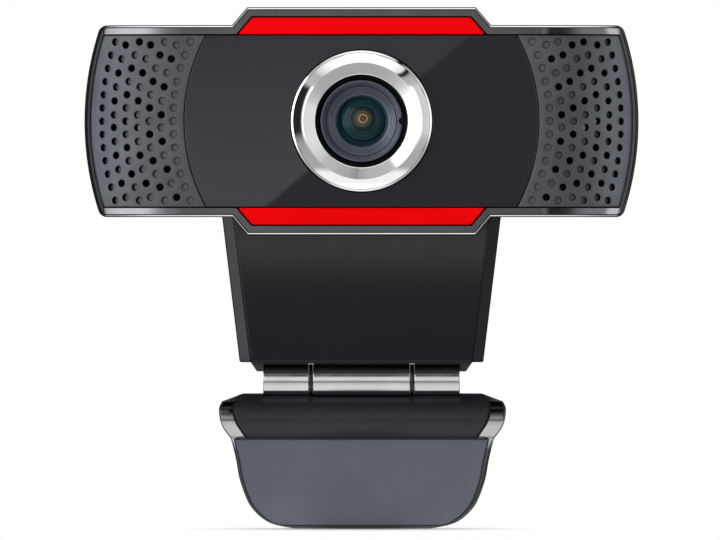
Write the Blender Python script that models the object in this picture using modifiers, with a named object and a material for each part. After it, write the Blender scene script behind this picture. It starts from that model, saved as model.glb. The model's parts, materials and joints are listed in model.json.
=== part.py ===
"""Clip-on webcam: a wide head with microphone grilles and a focus ring, on an arm and a folding clip leg.

World frame: the origin is on the clip arm's flat front face, which rests on a screen's top edge. It is on the
arm's centre line, 30 mm below the lens axis. +X is to the right seen from the front, -Y forward and +Z up.
The clip is opened out straight. Sizes below are in millimetres, and the helpers turn them into metres.
"""
from math import asin, atan2, cos, degrees, pi, radians, sin, sqrt

import bmesh
import bpy
from mathutils import Matrix, Vector

MM = 0.001
MERGE_DISTANCE = 0.00001        # metres
GAP = 0.15                      # seam between neighbouring pieces
OVERRUN = 1.0                   # how far a cutter runs past the face it cuts
RING_STEPS = 36                 # facets round the focus ring
TURN_STEPS = 28                 # facets round other large turned pieces and the hinge barrels
LENS_STEPS = 24
SMALL_STEPS = 16
PIN_STEPS = 12                  # facets round a screw, pin or washer

# Where the head lies: its panel front is at HEAD_FRONT, and its lens axis is at LENS_HEIGHT
HEAD_FRONT = -24.4
LENS_HEIGHT = 30.0

# Head outline, seen from the front
END_X = 48.0
END_RADIUS = 50.4
END_CENTRE_X = END_X - END_RADIUS
CORNER_RADIUS = 1.6
WING_TOP = 16.6
BUMP_FOOT_X = 22.4              # the raised centre starts here
BUMP_HEIGHT = 3.1
BUMP_RUN = 2.65                 # how far its slanted side leans inward
BUMP_SLANT = sqrt(BUMP_HEIGHT ** 2 + BUMP_RUN ** 2)
BUMP_SHIFT = (BUMP_SLANT - BUMP_RUN) / BUMP_HEIGHT
END_STEPS = 5
CORNER_STEPS = 2
WING_STEPS = 6

# Head depth, seen from above
FLAT_X = 31.0                   # the front is flat as far as this, then curves back
FRONT_CURVE = 22.0
FRAME_DEPTH = 3.8
FRAME_CURVE = 26.0
BACK_FLAT_X = 26.0
BACK_DEPTH = 22.0
BACK_CURVE = 43.3

# Front frame: rails stand proud of the panel, and a ledge behind them carries the panel and grilles
RAIL_PROUD = 0.5
RAIL_CHAMFER = 0.4
OPENING_END = 0.7
OPENING_TOP = 1.6
OPENING_CORNER = 0.4
OPENING_CHAMFER = 0.25
LEDGE_DEPTH = 1.75
LEDGE_WIDTH = 1.5
LUG_RADIUS = 2.5
LUG_START = 2.5
LUG_END = 7.0

# Rear shell
SHELL_WALL = 1.6
SHELL_STRAIGHT = 0.72           # the part of its depth before the back edge rounds over
SHELL_DRAFT = 0.4
SHELL_EDGE = 4.2
SHELL_EDGE_STEPS = 4
BUMP_AT_EDGE = 2.3              # the raised centre has sunk to this where the back edge starts
BUMP_AT_BACK = 0.8

# Lens panel, grilles and accents
PANEL_THICKNESS = 1.6
PANEL_TOP = 14.87
SEAM_RADIUS = 30.95
SEAM_CENTRE_X = -0.25
SEAM_STEPS = 10
GRILLE_EDGE = 0.85
HOLE_RADIUS = 0.64
HOLE_SIDES = 6
HOLE_LENGTH = 6.0
FIRST_COLUMN_X = 45.0
COLUMN_STEP = 2.07
ODD_ROW_STEP = 2.285
EVEN_ROW_START = 1.09
EVEN_ROW_STEP = 2.417
COLUMN_RADII = (41.7, 42.7, 40.2, 38.7, 35.7, 33.6, 32.6)   # from the outermost column inward
ACCENT_FOOT_X = 21.4
ACCENT_TIP_X = 18.9
ACCENT_TOP = 17.94
ACCENT_PROUD = 0.2

# Electronics in the head, as distances behind the panel's front face
BOARD_HALF_WIDTH = 28.0
BOARD_HALF_HEIGHT = 12.0
BOARD_FRONT = 13.0
BOARD_BACK = 14.2
BOARD_SCREW_X = 24.0
HOLDER_SCREW_X = 10.0
HOLDER_HALF = 7.6
HOLDER_BASE = 3.0
HOLDER_FRONT = 4.3
HOLDER_TUBE = 7.4
HOLDER_EAR_X = 12.2
HOLDER_EAR_Z = 2.4
SENSOR_ROOM = 5.0
SENSOR_ROOM_DEPTH = 2.6
FILTER_HALF = 4.6
FILTER_THICKNESS = 0.5
SENSOR_HALF_X = 3.6
SENSOR_HALF_Z = 3.2
SENSOR_THICKNESS = 0.9
MICROPHONE_X = 39.0
MICROPHONE_POST = 3.6
MICROPHONE_POST_START = 9.75
GLAND_HEIGHT = 7.0
GLAND_NECK = 3.05
SHELL_SCREW_X = 33.0
SHELL_SCREW_Z = 12.0
SHELL_SCREW_SINK = 2.85

# Focus ring and lens
RING_RADIUS = 12.16
RING_BORE = 8.0
BARREL_RADIUS = 7.08
THREAD_RADIUS = 5.95
ELEMENT_RADIUS = 4.2
NOTCH_RADIUS = 0.58
KEY_WIDTH = 0.8

# Both hinges: barrels on a pin, with a friction washer in each gap
BARREL_OUTER = 2.85
CENTRE_KNUCKLE = 8.45           # half its length
SIDE_KNUCKLE_INNER = 9.2
SIDE_KNUCKLE_OUTER = 17.1
KNUCKLE_ROOM = 0.25
PIN_RADIUS = 1.0
PIN_BORE = 1.12
WASHER_OUTER = 2.3
WASHER_THICKNESS = 0.44

# Tilt hinge behind the head
TILT_HEIGHT = LENS_HEIGHT - 8.0
TILT_PIN = (BARREL_OUTER, TILT_HEIGHT)
EAR_OUTER = 14.2
BRACKET_HALF = 15.5
BRACKET_PLATE = 1.6
BRACKET_ABOVE_PIN = 4.2
BRACKET_SCREW_X = 11.7

# Clip arm. Its front face is the plane Y = 0
ARM_TOP = LENS_HEIGHT - 11.3
ARM_BOTTOM = LENS_HEIGHT - 41.8
ARM_TOP_HALF = 24.74
ARM_BOTTOM_HALF = 21.05
ARM_BEVEL = 2.1
ARM_BEVEL_DEPTH = 1.5
ARM_PLATE = 2.1
ARM_DEPTH = 5.7
ARM_WALL = 1.3
ARM_EDGE = 0.4
ARM_BACK_EDGE = 1.2
ARM_POST = 2.4
NECK_HALF = 8.2                 # half the width of the web between the arm and its tilt barrel
ARM_SCREW_SINK = 1.4
UPPER_SCREW_X = 18.5
UPPER_SCREW_DROP = 4.0
LOWER_SCREW_X = 12.8
LOWER_SCREW_RISE = 4.9

# Clamp hinge between the arm and the leg
CLAMP_HEIGHT = LENS_HEIGHT - 44.9
CLAMP_PIN = (BARREL_OUTER, CLAMP_HEIGHT)
LEAF_THICKNESS = 1.2
ARM_LEAF_RISE = 9.0
SHOULDER_HALF = 19.3
SHOULDER_TIP = 18.2
SHOULDER_DROP = 1.6
LEG_LEAF_FRONT = CLAMP_PIN[0] + 0.1
LEG_LEAF_DROP = 9.2
LEG_SCREW_X = 5.0
LEG_SCREW_DROP = 6.8
LEG_SCREW_ROOM = 1.85

# Clip leg, with heights above the lens axis
ROLL_CENTRE = (CLAMP_PIN[0] + 1.2, CLAMP_HEIGHT - 6.6)
ROLL_RADIUS = 4.2
ROLL_STEPS = 9
CHEEK_PROUD = 0.2
CREASE = -55.1
LEG_TOP = -47.2
LEG_BOTTOM = -70.8
LEG_BACK = CLAMP_PIN[0] + 2.85
LEG_EDGE = 0.8
COVER_SEAT = CLAMP_PIN[0] - 0.05
PAD_FRONT = CLAMP_PIN[0] - 1.05
PAD_THICKNESS = 1.4
BEAD_WIDTH = 0.45
CHEEK_OUTLINE = [(20.6, LEG_TOP), (24.3, -48.6), (24.8, -49.9), (24.6, -51.8), (24.1, -53.2), (23.2, -54.5)]
PAD_OUTLINE = [(22.7, CREASE - 0.2), (21.85, -58.7), (21.2, -62.2), (20.0, -65.6), (18.9, -67.4),
               (17.1, -69.1), (15.0, -70.1), (11.5, LEG_BOTTOM)]
ROLL_OUTLINE = [(20.7, LEG_TOP + OVERRUN), (22.6, -49.5), (22.4, -51.1), (21.9, -52.5), (21.2, -53.6),
                (20.2, CREASE - 0.1)]

# Fasteners
SCREW_HEAD = 1.8
SCREW_HEAD_HEIGHT = 1.2
SCREW_SHANK = 0.95
SCREW_TIP = 0.5
SCREW_BORE = 1.1
HEAD_BORE = 2.0
RECESS_LENGTH = 1.0
RECESS_WIDTH = 0.2

# Looks, as (linear RGB, roughness, metallic)
PIANO_BLACK = ((0.012, 0.012, 0.014), 0.12, 0.0)
FRAME_GREY = ((0.035, 0.033, 0.037), 0.25, 0.0)
GRILLE_GREY = ((0.070, 0.072, 0.080), 0.45, 0.0)
SIGNAL_RED = ((0.80, 0.003, 0.006), 0.25, 0.0)
SATIN_BLACK = ((0.025, 0.025, 0.028), 0.40, 0.0)
RUBBER_GREY = ((0.090, 0.098, 0.115), 0.75, 0.0)
BLACK_RUBBER = ((0.015, 0.015, 0.015), 0.85, 0.0)
CHROME = ((0.75, 0.76, 0.78), 0.08, 1.0)
STEEL = ((0.55, 0.56, 0.58), 0.30, 1.0)
BLACK_METAL = ((0.020, 0.021, 0.023), 0.35, 0.8)
BOARD_GREEN = ((0.010, 0.090, 0.035), 0.40, 0.0)
MATT_BLACK = ((0.015, 0.015, 0.017), 0.50, 0.0)
NYLON = ((0.75, 0.73, 0.66), 0.45, 0.0)
LENS_GLASS = ((0.060, 0.110, 0.140), 0.03, 0.0)
FILTER_GLASS = ((0.180, 0.050, 0.060), 0.05, 0.0)
ALUMINIUM = ((0.60, 0.61, 0.63), 0.35, 1.0)


# ---------------------------------------------------------------- places

def deep(distance):
    """World Y of a plane that lies this far behind the front of the head's panel."""
    return HEAD_FRONT + distance


def high(distance):
    """World Z of a height above the lens axis."""
    return LENS_HEIGHT + distance


def lift(outline):
    """An outline of (x, height above the lens axis) as (x, world Z)."""
    return [(x, high(z)) for x, z in outline]


# ---------------------------------------------------------------- helpers

def empty_scene():
    for old in list(bpy.data.objects):
        bpy.data.objects.remove(old, do_unlink=True)


def new_collection(name):
    collection = bpy.data.collections.new(name)
    bpy.context.scene.collection.children.link(collection)
    return collection


def new_object(name, data):
    made = bpy.data.objects.new(name, data)
    PARTS.objects.link(made)
    return made


def from_bmesh(name, shape):
    bmesh.ops.recalc_face_normals(shape, faces=shape.faces)
    mesh = bpy.data.meshes.new(name)
    shape.to_mesh(mesh)
    shape.free()
    return new_object(name, mesh)


def finish(target, look):
    """Give a sub-part its own material, and smooth its gentle edges."""
    colour, roughness, metallic = look
    material = bpy.data.materials.new(target.name + "_finish")
    material.use_nodes = True
    shader = material.node_tree.nodes["Principled BSDF"]
    shader.inputs["Base Color"].default_value = (*colour, 1.0)
    shader.inputs["Roughness"].default_value = roughness
    shader.inputs["Metallic"].default_value = metallic
    target.data.materials.append(material)
    target.data.shade_smooth()
    target.data.set_sharp_from_angle(angle=radians(32))
    return target


def boolean(target, other, operation):
    """Cut, join or trim a sub-part with another solid, which is kept as a hidden wire object."""
    other.name = f"{target.name}_{operation.lower()}"
    PARTS.objects.unlink(other)
    CUTTERS.objects.link(other)
    other.hide_render = True
    other.display_type = "WIRE"
    hang(other, target)
    modifier = target.modifiers.new(other.name, "BOOLEAN")
    modifier.operation = operation
    modifier.object = other
    return target


def cut(target, *cutters):
    for cutter in cutters:
        boolean(target, cutter, "DIFFERENCE")
    return target


def join(target, *additions):
    for addition in additions:
        boolean(target, addition, "UNION")
    return target


def trim(target, limit):
    return boolean(target, limit, "INTERSECT")


def hang(child, parent):
    """Parent without moving the child."""
    bpy.context.view_layer.update()
    child.parent = parent
    child.matrix_parent_inverse = parent.matrix_world.inverted()


def box(name, low, high_corner):
    shape = bmesh.new()
    size = [(b - a) * MM for a, b in zip(low, high_corner)]
    centre = [(a + b) / 2 * MM for a, b in zip(low, high_corner)]
    bmesh.ops.create_cube(shape, size=1.0, matrix=Matrix.Translation(centre) @ Matrix.Diagonal((*size, 1.0)))
    return from_bmesh(name, shape)


def rod_across(name, centre, left, right, radius, sides=PIN_STEPS):
    """A cylinder along X, through (y, z)."""
    place = Matrix.Translation(Vector(((left + right) / 2, *centre)) * MM) @ Matrix.Rotation(pi / 2, 4, "Y")
    return cylinder(name, place, right - left, radius, sides)


def rod_deep(name, centre, front, back, radius, sides=PIN_STEPS):
    """A cylinder along Y, through (x, z)."""
    middle = Vector((centre[0], (front + back) / 2, centre[1])) * MM
    place = Matrix.Translation(middle) @ Matrix.Rotation(pi / 2, 4, "X")
    return cylinder(name, place, back - front, radius, sides)


def cylinder(name, place, length, radius, sides):
    shape = bmesh.new()
    bmesh.ops.create_cone(shape, cap_ends=True, segments=sides, radius1=radius * MM, radius2=radius * MM,
                          depth=length * MM, matrix=place)
    return from_bmesh(name, shape)


# How a flat outline lies in the world when it is extruded along each axis
ALONG = {"X": Matrix(((0, 0, 1, 0), (1, 0, 0, 0), (0, 1, 0, 0), (0, 0, 0, 1))),
         "Y": Matrix.Rotation(pi / 2, 4, "X"),
         "Z": Matrix()}


def outline_solid(name, outline, start, end, along):
    """Extrude a flat outline: along X it is given as (y, z), along Y as (x, z), and along Z as (x, y)."""
    curve = bpy.data.curves.new(name, "CURVE")
    curve.dimensions = "2D"
    curve.fill_mode = "BOTH"
    curve.extrude = (end - start) / 2 * MM
    curve.render_resolution_u = 0
    spline = curve.splines.new("POLY")
    spline.points.add(len(outline) - 1)
    for point, (across, up) in zip(spline.points, outline):
        point.co = (across * MM, up * MM, 0.0, 1.0)
    spline.use_cyclic_u = True
    drawn = new_object(name + "_curve", curve)
    middle = Vector([(start + end) / 2 * MM if axis == along else 0.0 for axis in "XYZ"])
    drawn.matrix_world = Matrix.Translation(middle) @ ALONG[along]
    bpy.context.view_layer.update()
    mesh = bpy.data.meshes.new_from_object(drawn.evaluated_get(bpy.context.evaluated_depsgraph_get()))
    mesh.transform(drawn.matrix_world)
    bpy.data.objects.remove(drawn, do_unlink=True)
    shape = bmesh.new()
    shape.from_mesh(mesh)
    bpy.data.meshes.remove(mesh)
    bmesh.ops.remove_doubles(shape, verts=shape.verts, dist=MERGE_DISTANCE)
    return from_bmesh(name, shape)


def turned(name, profile, centre, facing="front", steps=TURN_STEPS):
    """Turn a profile of (radius, height) about an axis along Y. Heights grow towards the side it faces.

    A profile that starts on the axis runs from pole to pole. Any other is a closed section of a ring, and runs
    down its outer side and up its inner side.
    """
    points = [(radius * MM, 0.0, height * MM) for radius, height in profile]
    edges = [(k, k + 1) for k in range(len(points) - 1)]
    if profile[0][0] > 0.0:
        edges.append((len(points) - 1, 0))
    mesh = bpy.data.meshes.new(name)
    mesh.from_pydata(points, edges, [])
    made = new_object(name, mesh)
    made.location = Vector(centre) * MM
    made.rotation_euler = (pi / 2 if facing == "front" else -pi / 2, 0.0, 0.0)
    screw = made.modifiers.new("turn", "SCREW")
    screw.axis = "Z"
    screw.steps = steps
    screw.render_steps = steps
    screw.use_merge_vertices = True
    screw.merge_threshold = MERGE_DISTANCE
    return made


def skin(shape, first, second):
    """Join two rings of the same length with quads."""
    count = len(first)
    for k in range(count):
        after = (k + 1) % count
        shape.faces.new((first[k], first[after], second[after], second[k]))


def ring_rows(shape, rings):
    return [[shape.verts.new(Vector(point) * MM) for point in ring] for ring in rings]


def hoop_loft(name, rings):
    """A closed hoop: each ring of points is skinned to the next, and the last one to the first."""
    shape = bmesh.new()
    rows = ring_rows(shape, rings)
    for near, far in zip(rows, rows[1:] + rows[:1]):
        skin(shape, near, far)
    return from_bmesh(name, shape)


def strip_cap(shape, ring):
    """Close a ring whose lower half mirrors its upper half, with strips that run up and down."""
    count = len(ring)
    half = count // 2
    shape.faces.new((ring[0], ring[1], ring[-1]))
    for k in range(1, half - 1):
        shape.faces.new((ring[k], ring[k + 1], ring[count - k - 1], ring[count - k]))
    shape.faces.new((ring[half - 1], ring[half], ring[half + 1]))


def tray_loft(name, outer, inner):
    """A hollow shell, open at its first rings."""
    shape = bmesh.new()
    rims = []
    for rings in (outer, inner):
        rows = ring_rows(shape, rings)
        for near, far in zip(rows, rows[1:]):
            skin(shape, near, far)
        strip_cap(shape, rows[-1])
        rims.append(rows[0])
    skin(shape, *rims)
    return from_bmesh(name, shape)


def stack_loft(name, rings):
    """A solid between flat rings, closed at both ends."""
    shape = bmesh.new()
    rows = ring_rows(shape, rings)
    for near, far in zip(rows, rows[1:]):
        skin(shape, near, far)
    shape.faces.new(rows[0])
    shape.faces.new(rows[-1])
    return from_bmesh(name, shape)


def arc(centre, radius, start, end, steps):
    """Points on an arc of a flat outline, both ends included. Angles are in degrees."""
    turns = [radians(start + (end - start) * k / steps) for k in range(steps + 1)]
    return [(centre[0] + radius * cos(turn), centre[1] + radius * sin(turn)) for turn in turns]


def screw_fastener(name, centre, facing, seat, length, driven=False):
    """A pan-head screw whose head sits on the plane Y = seat. One that shows from outside has a cross recess."""
    rim = SCREW_HEAD_HEIGHT * 0.6
    profile = [(0.0, SCREW_HEAD_HEIGHT), (SCREW_HEAD * 0.7, SCREW_HEAD_HEIGHT), (SCREW_HEAD, rim),
               (SCREW_HEAD, 0.0), (SCREW_SHANK, 0.0), (SCREW_SHANK, SCREW_TIP - length), (0.0, -length)]
    made = turned(name, profile, (centre[0], seat, centre[1]), facing, PIN_STEPS)
    if driven:
        for across, up in ((RECESS_LENGTH, RECESS_WIDTH), (RECESS_WIDTH, RECESS_LENGTH)):
            cut(made, box("recess", (centre[0] - across, seat + 0.5, centre[1] - up),
                          (centre[0] + across, seat + SCREW_HEAD_HEIGHT + OVERRUN, centre[1] + up)))
    return finish(made, STEEL)


# ---------------------------------------------------------------- head outline and depth

def curved_back(x, flat, radius):
    """How far a surface has curved back at x, when it is flat as far as flat and then follows a circle."""
    beyond = max(abs(x) - flat, 0.0)
    return radius - sqrt(radius ** 2 - beyond ** 2)


def front_y(x):
    return deep(curved_back(x, FLAT_X, FRONT_CURVE))


def seam_y(x):
    return deep(FRAME_DEPTH + curved_back(x, FLAT_X, FRAME_CURVE))


def back_y(x):
    return deep(BACK_DEPTH - curved_back(x, BACK_FLAT_X, BACK_CURVE))


def head_outline(end_inset=0.0, top_inset=0.0, corner=CORNER_RADIUS, bump=BUMP_HEIGHT):
    """The head seen from the front, from the middle of its right-hand end, over the top and back underneath."""
    bow = END_RADIUS - end_inset
    top = WING_TOP - top_inset
    corner_z = top - corner
    corner_x = END_CENTRE_X + sqrt((bow - corner) ** 2 - corner_z ** 2)
    sweep = degrees(atan2(corner_z, corner_x - END_CENTRE_X))
    right = arc((END_CENTRE_X, 0.0), bow, 0.0, sweep, END_STEPS)[:-1]
    right += arc((corner_x, corner_z), corner, sweep, 90.0, CORNER_STEPS)
    foot = BUMP_FOOT_X - top_inset * BUMP_SHIFT
    right += [(corner_x + (foot - corner_x) * k / WING_STEPS, top) for k in range(1, WING_STEPS + 1)]
    right.append((foot - bump * BUMP_RUN / BUMP_HEIGHT, top + bump))
    over = right + [(-x, z) for x, z in reversed(right)]
    return over + [(x, -z) for x, z in reversed(over[1:-1])]


def head_ring(outline, depth):
    """Lift an outline of (x, z) to points in the world at the depth that depth(x) gives."""
    return [(x, depth(x), high(z)) for x, z in outline]


# ---------------------------------------------------------------- head: frame, shell, panel, grilles, accents

SHELL_SCREWS = [(side * SHELL_SCREW_X, high(level * SHELL_SCREW_Z)) for side in (-1, 1) for level in (-1, 1)]


def front_frame():
    """Rails above and below, end strips, a ledge for the panel and grilles, and lugs for the shell screws."""
    opening = head_outline(OPENING_END, OPENING_TOP, OPENING_CORNER)
    ledge = head_outline(OPENING_END + LEDGE_WIDTH, OPENING_TOP + LEDGE_WIDTH, OPENING_CORNER)
    outer_edge = head_outline(OPENING_CHAMFER, RAIL_CHAMFER)
    inner_edge = head_outline(OPENING_END - OPENING_CHAMFER / 2, OPENING_TOP - OPENING_CHAMFER, OPENING_CORNER)
    rings = [
        head_ring(head_outline(), seam_y),
        head_ring(head_outline(), lambda x: front_y(x) - RAIL_PROUD + RAIL_CHAMFER),
        head_ring(outer_edge, lambda x: front_y(x) - RAIL_PROUD),
        head_ring(inner_edge, lambda x: front_y(x) - RAIL_PROUD),
        head_ring(opening, lambda x: front_y(x) - RAIL_PROUD + OPENING_CHAMFER),
        head_ring(opening, lambda x: front_y(x) + LEDGE_DEPTH),
        head_ring(ledge, lambda x: front_y(x) + LEDGE_DEPTH),
        head_ring(ledge, seam_y),
    ]
    made = hoop_loft("front_frame", rings)
    for centre in SHELL_SCREWS:
        join(made, rod_deep("lug", centre, deep(LUG_START), deep(LUG_END), LUG_RADIUS))
        cut(made, rod_deep("pilot", centre, deep(LUG_START + 0.7), deep(LUG_END + OVERRUN), SCREW_BORE))
    return finish(made, FRAME_GREY)


def shell_ring(fraction, inset, bump, wall):
    """One ring of the rear shell. Fraction is 0 at the seam with the frame and 1 at the back."""
    outline = head_outline(inset + wall, inset + wall, CORNER_RADIUS, bump)
    return head_ring(outline, lambda x: seam_y(x) + GAP + fraction * (back_y(x) - wall - seam_y(x) - GAP))


def shell_rings(wall):
    """Rings from the seam to the back, where the edge rounds over. The raised centre sinks on the way."""
    rings = [shell_ring(0.0, 0.0, BUMP_HEIGHT, wall)]
    for k in range(SHELL_EDGE_STEPS + 1):
        turn = pi / 2 * k / SHELL_EDGE_STEPS
        fraction = SHELL_STRAIGHT + (1 - SHELL_STRAIGHT) * sin(turn)
        inset = SHELL_DRAFT + SHELL_EDGE * (1 - cos(turn))
        bump = BUMP_AT_BACK + (BUMP_AT_EDGE - BUMP_AT_BACK) * cos(turn)
        rings.append(shell_ring(fraction, inset, bump, wall))
    return rings


def through_back(name, centre, radius):
    """A cutter through the rear shell's back wall."""
    return rod_deep(name, centre, deep(BACK_DEPTH - 2 * SHELL_WALL), deep(BACK_DEPTH + OVERRUN), radius)


def rear_shell():
    """The hollow back of the head, with posts for its screws, the board and the microphones."""
    made = tray_loft("rear_shell", shell_rings(0.0), shell_rings(SHELL_WALL))
    for centre in SHELL_SCREWS:
        join(made, rod_deep("post", centre, deep(LUG_END + GAP), deep(BACK_DEPTH - 1.2), LUG_RADIUS))
        cut(made, rod_deep("bore", centre, deep(LUG_END - OVERRUN), deep(BACK_DEPTH + OVERRUN), SCREW_BORE),
            rod_deep("head_bore", centre, deep(BACK_DEPTH - SHELL_SCREW_SINK - GAP), deep(BACK_DEPTH + OVERRUN),
                     HEAD_BORE))
    for side in (-1, 1):
        microphone_place = (side * MICROPHONE_X, LENS_HEIGHT)
        board_place = (side * BOARD_SCREW_X, LENS_HEIGHT)
        join(made, rod_deep("microphone_post", microphone_place, deep(MICROPHONE_POST_START), deep(19.0),
                            MICROPHONE_POST),
             rod_deep("board_post", board_place, deep(BOARD_BACK + GAP), deep(BACK_DEPTH - 1.0), ARM_POST))
        cut(made, rod_deep("pilot", board_place, deep(BOARD_BACK - OVERRUN), deep(18.5), SCREW_BORE),
            through_back("bracket_hole", (side * BRACKET_SCREW_X, TILT_HEIGHT), SCREW_BORE))
    cut(made, through_back("gland_hole", (0.0, high(GLAND_HEIGHT)), GLAND_NECK + GAP))
    return finish(made, SATIN_BLACK)


def lens_panel():
    """The glossy panel between the two curved seams, with a hole for the focus ring."""
    radius = SEAM_RADIUS - GAP / 2
    sweep = degrees(asin(PANEL_TOP / radius))
    right = arc((SEAM_CENTRE_X, 0.0), radius, -sweep, sweep, SEAM_STEPS)
    outline = lift(right + [(-x, -z) for x, z in right])
    made = outline_solid("lens_panel", outline, deep(0.0), deep(PANEL_THICKNESS), "Y")
    cut(made, rod_deep("ring_hole", (0.0, LENS_HEIGHT), deep(-OVERRUN), deep(PANEL_THICKNESS + OVERRUN),
                       RING_RADIUS + GAP, RING_STEPS))
    return finish(made, PIANO_BLACK)


def grille_section():
    """The space between the grilles' front and back surfaces, seen from above."""
    steps = 12
    stations = [FLAT_X - 7.0] + [FLAT_X + (END_X + 0.4 - FLAT_X) * k / steps for k in range(steps + 1)]
    front = [(x, front_y(x)) for x in stations]
    behind = [(x, front_y(x) + PANEL_THICKNESS) for x in stations]
    return front + behind[::-1]


def open_holes():
    """Places of the holes that go right through, as (x, z) from the lens axis, on the right-hand grille."""
    upper = [EVEN_ROW_START + EVEN_ROW_STEP * k for k in range(5, -1, -1)]
    even_rows = upper + [-z for z in reversed(upper)]
    odd_rows = [ODD_ROW_STEP * k for k in range(6, -7, -1)]
    places = []
    for column in range(1, 6):
        rows = even_rows if column % 2 else odd_rows
        first = 0 if column < 4 else 1
        radius = COLUMN_RADII[column]
        for z in rows[first:12:2]:
            places.append((FIRST_COLUMN_X - COLUMN_STEP * column - radius + sqrt(radius ** 2 - z ** 2), z))
    return places


def grille_drills(side):
    """One cutter for all the open holes, each square to the curved face."""
    shape = bmesh.new()
    for x, z in open_holes():
        lean = asin(max(x - FLAT_X, 0.0) / FRONT_CURVE)
        place = Matrix.Translation(Vector((side * x, front_y(x), high(z))) * MM)
        place = place @ Matrix.Rotation(side * lean, 4, "Z") @ Matrix.Rotation(pi / 2, 4, "X")
        bmesh.ops.create_cone(shape, cap_ends=True, segments=HOLE_SIDES, radius1=HOLE_RADIUS * MM,
                              radius2=HOLE_RADIUS * MM, depth=HOLE_LENGTH * MM, matrix=place)
    return from_bmesh("drills", shape)


def grille(name, side):
    """A perforated cover over one microphone."""
    end_radius = END_RADIUS - GRILLE_EDGE
    seam_radius = SEAM_RADIUS + GAP / 2
    outer = degrees(asin(PANEL_TOP / end_radius))
    inner = degrees(asin(PANEL_TOP / seam_radius))
    outline = arc((END_CENTRE_X, 0.0), end_radius, -outer, outer, SEAM_STEPS)
    outline += arc((SEAM_CENTRE_X, 0.0), seam_radius, inner, -inner, SEAM_STEPS)
    made = outline_solid(name, lift([(side * x, z) for x, z in outline]), deep(-2.0), deep(14.0), "Y")
    section = [(side * x, y) for x, y in grille_section()]
    trim(made, outline_solid("section", section, high(-END_X), high(END_X), "Z"))
    cut(made, grille_drills(side))
    return finish(made, GRILLE_GREY)


def accent(name, side):
    """A red bar that fills the raised centre above or below the panel."""
    foot = PANEL_TOP + GAP
    outline = [(-ACCENT_FOOT_X, foot), (ACCENT_FOOT_X, foot), (ACCENT_TIP_X, ACCENT_TOP),
               (-ACCENT_TIP_X, ACCENT_TOP)]
    made = outline_solid(name, lift([(x, side * z) for x, z in outline]), deep(-ACCENT_PROUD),
                         deep(PANEL_THICKNESS), "Y")
    return finish(made, SIGNAL_RED)


# ---------------------------------------------------------------- head: electronics

def main_board():
    made = box("main_board", (-BOARD_HALF_WIDTH, deep(BOARD_FRONT), high(-BOARD_HALF_HEIGHT)),
               (BOARD_HALF_WIDTH, deep(BOARD_BACK), high(BOARD_HALF_HEIGHT)))
    for x in (-BOARD_SCREW_X, -HOLDER_SCREW_X, HOLDER_SCREW_X, BOARD_SCREW_X):
        cut(made, rod_deep("hole", (x, LENS_HEIGHT), deep(BOARD_FRONT - OVERRUN), deep(BOARD_BACK + OVERRUN),
                           SCREW_BORE))
    return finish(made, BOARD_GREEN)


def soldered_parts():
    """The sensor on the board's front, and the video chip and cable header on its back."""
    front = deep(BOARD_FRONT - GAP)
    back = deep(BOARD_BACK + GAP)
    sensor = box("image_sensor", (-SENSOR_HALF_X, front - SENSOR_THICKNESS, high(-SENSOR_HALF_Z)),
                 (SENSOR_HALF_X, front, high(SENSOR_HALF_Z)))
    chip = box("video_chip", (-16.0, back, high(-9.5)), (-9.0, back + 1.0, high(-2.5)))
    header = box("cable_header", (9.0, back, high(4.0)), (17.0, back + 4.0, high(9.0)))
    cut(header, box("socket", (9.8, back + 1.2, high(4.8)), (16.2, back + 5.0, high(8.2))))
    return [finish(sensor, MATT_BLACK), finish(chip, MATT_BLACK), finish(header, NYLON)]


def lens_holder():
    """The threaded tube over the sensor, with an ear each side for its screws."""
    foot = deep(BOARD_FRONT - GAP)
    made = box("lens_holder", (-HOLDER_HALF, foot - HOLDER_BASE, high(-HOLDER_HALF)),
               (HOLDER_HALF, foot, high(HOLDER_HALF)))
    join(made, rod_deep("tube", (0.0, LENS_HEIGHT), deep(HOLDER_FRONT), foot - OVERRUN, HOLDER_TUBE, TURN_STEPS),
         box("ears", (-HOLDER_EAR_X, foot - HOLDER_EAR_Z, high(-HOLDER_EAR_Z)),
             (HOLDER_EAR_X, foot, high(HOLDER_EAR_Z))))
    cut(made, rod_deep("thread", (0.0, LENS_HEIGHT), deep(HOLDER_FRONT - OVERRUN), foot - OVERRUN,
                       THREAD_RADIUS + GAP, TURN_STEPS),
        box("sensor_room", (-SENSOR_ROOM, foot - SENSOR_ROOM_DEPTH, high(-SENSOR_ROOM)),
            (SENSOR_ROOM, foot + OVERRUN, high(SENSOR_ROOM))))
    for x in (-HOLDER_SCREW_X, HOLDER_SCREW_X):
        cut(made, rod_deep("pilot", (x, LENS_HEIGHT), foot - 2.0, foot + OVERRUN, SCREW_BORE))
    return finish(made, MATT_BLACK)


def infrared_filter():
    """A coated glass square under the holder's step, in front of the sensor."""
    front = deep(BOARD_FRONT - GAP) - SENSOR_ROOM_DEPTH + GAP
    made = box("infrared_filter", (-FILTER_HALF, front, high(-FILTER_HALF)),
               (FILTER_HALF, front + FILTER_THICKNESS, high(FILTER_HALF)))
    return finish(made, FILTER_GLASS)


def microphone(side, word):
    """A capsule in a rubber boot behind one grille."""
    centre = (side * MICROPHONE_X, HEAD_FRONT, LENS_HEIGHT)
    capsule = turned("microphone_" + word, [(0.0, -6.4), (2.9, -6.4), (2.9, -9.1), (0.0, -9.1)], centre,
                     steps=SMALL_STEPS)
    boot = turned("microphone_boot_" + word, [(3.9, -5.6), (4.2, -5.9), (4.2, -9.6), (3.05, -9.6), (3.05, -6.25),
                                              (2.1, -6.25), (2.1, -5.6)], centre, steps=SMALL_STEPS)
    return [finish(capsule, ALUMINIUM), finish(boot, BLACK_RUBBER)]


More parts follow.
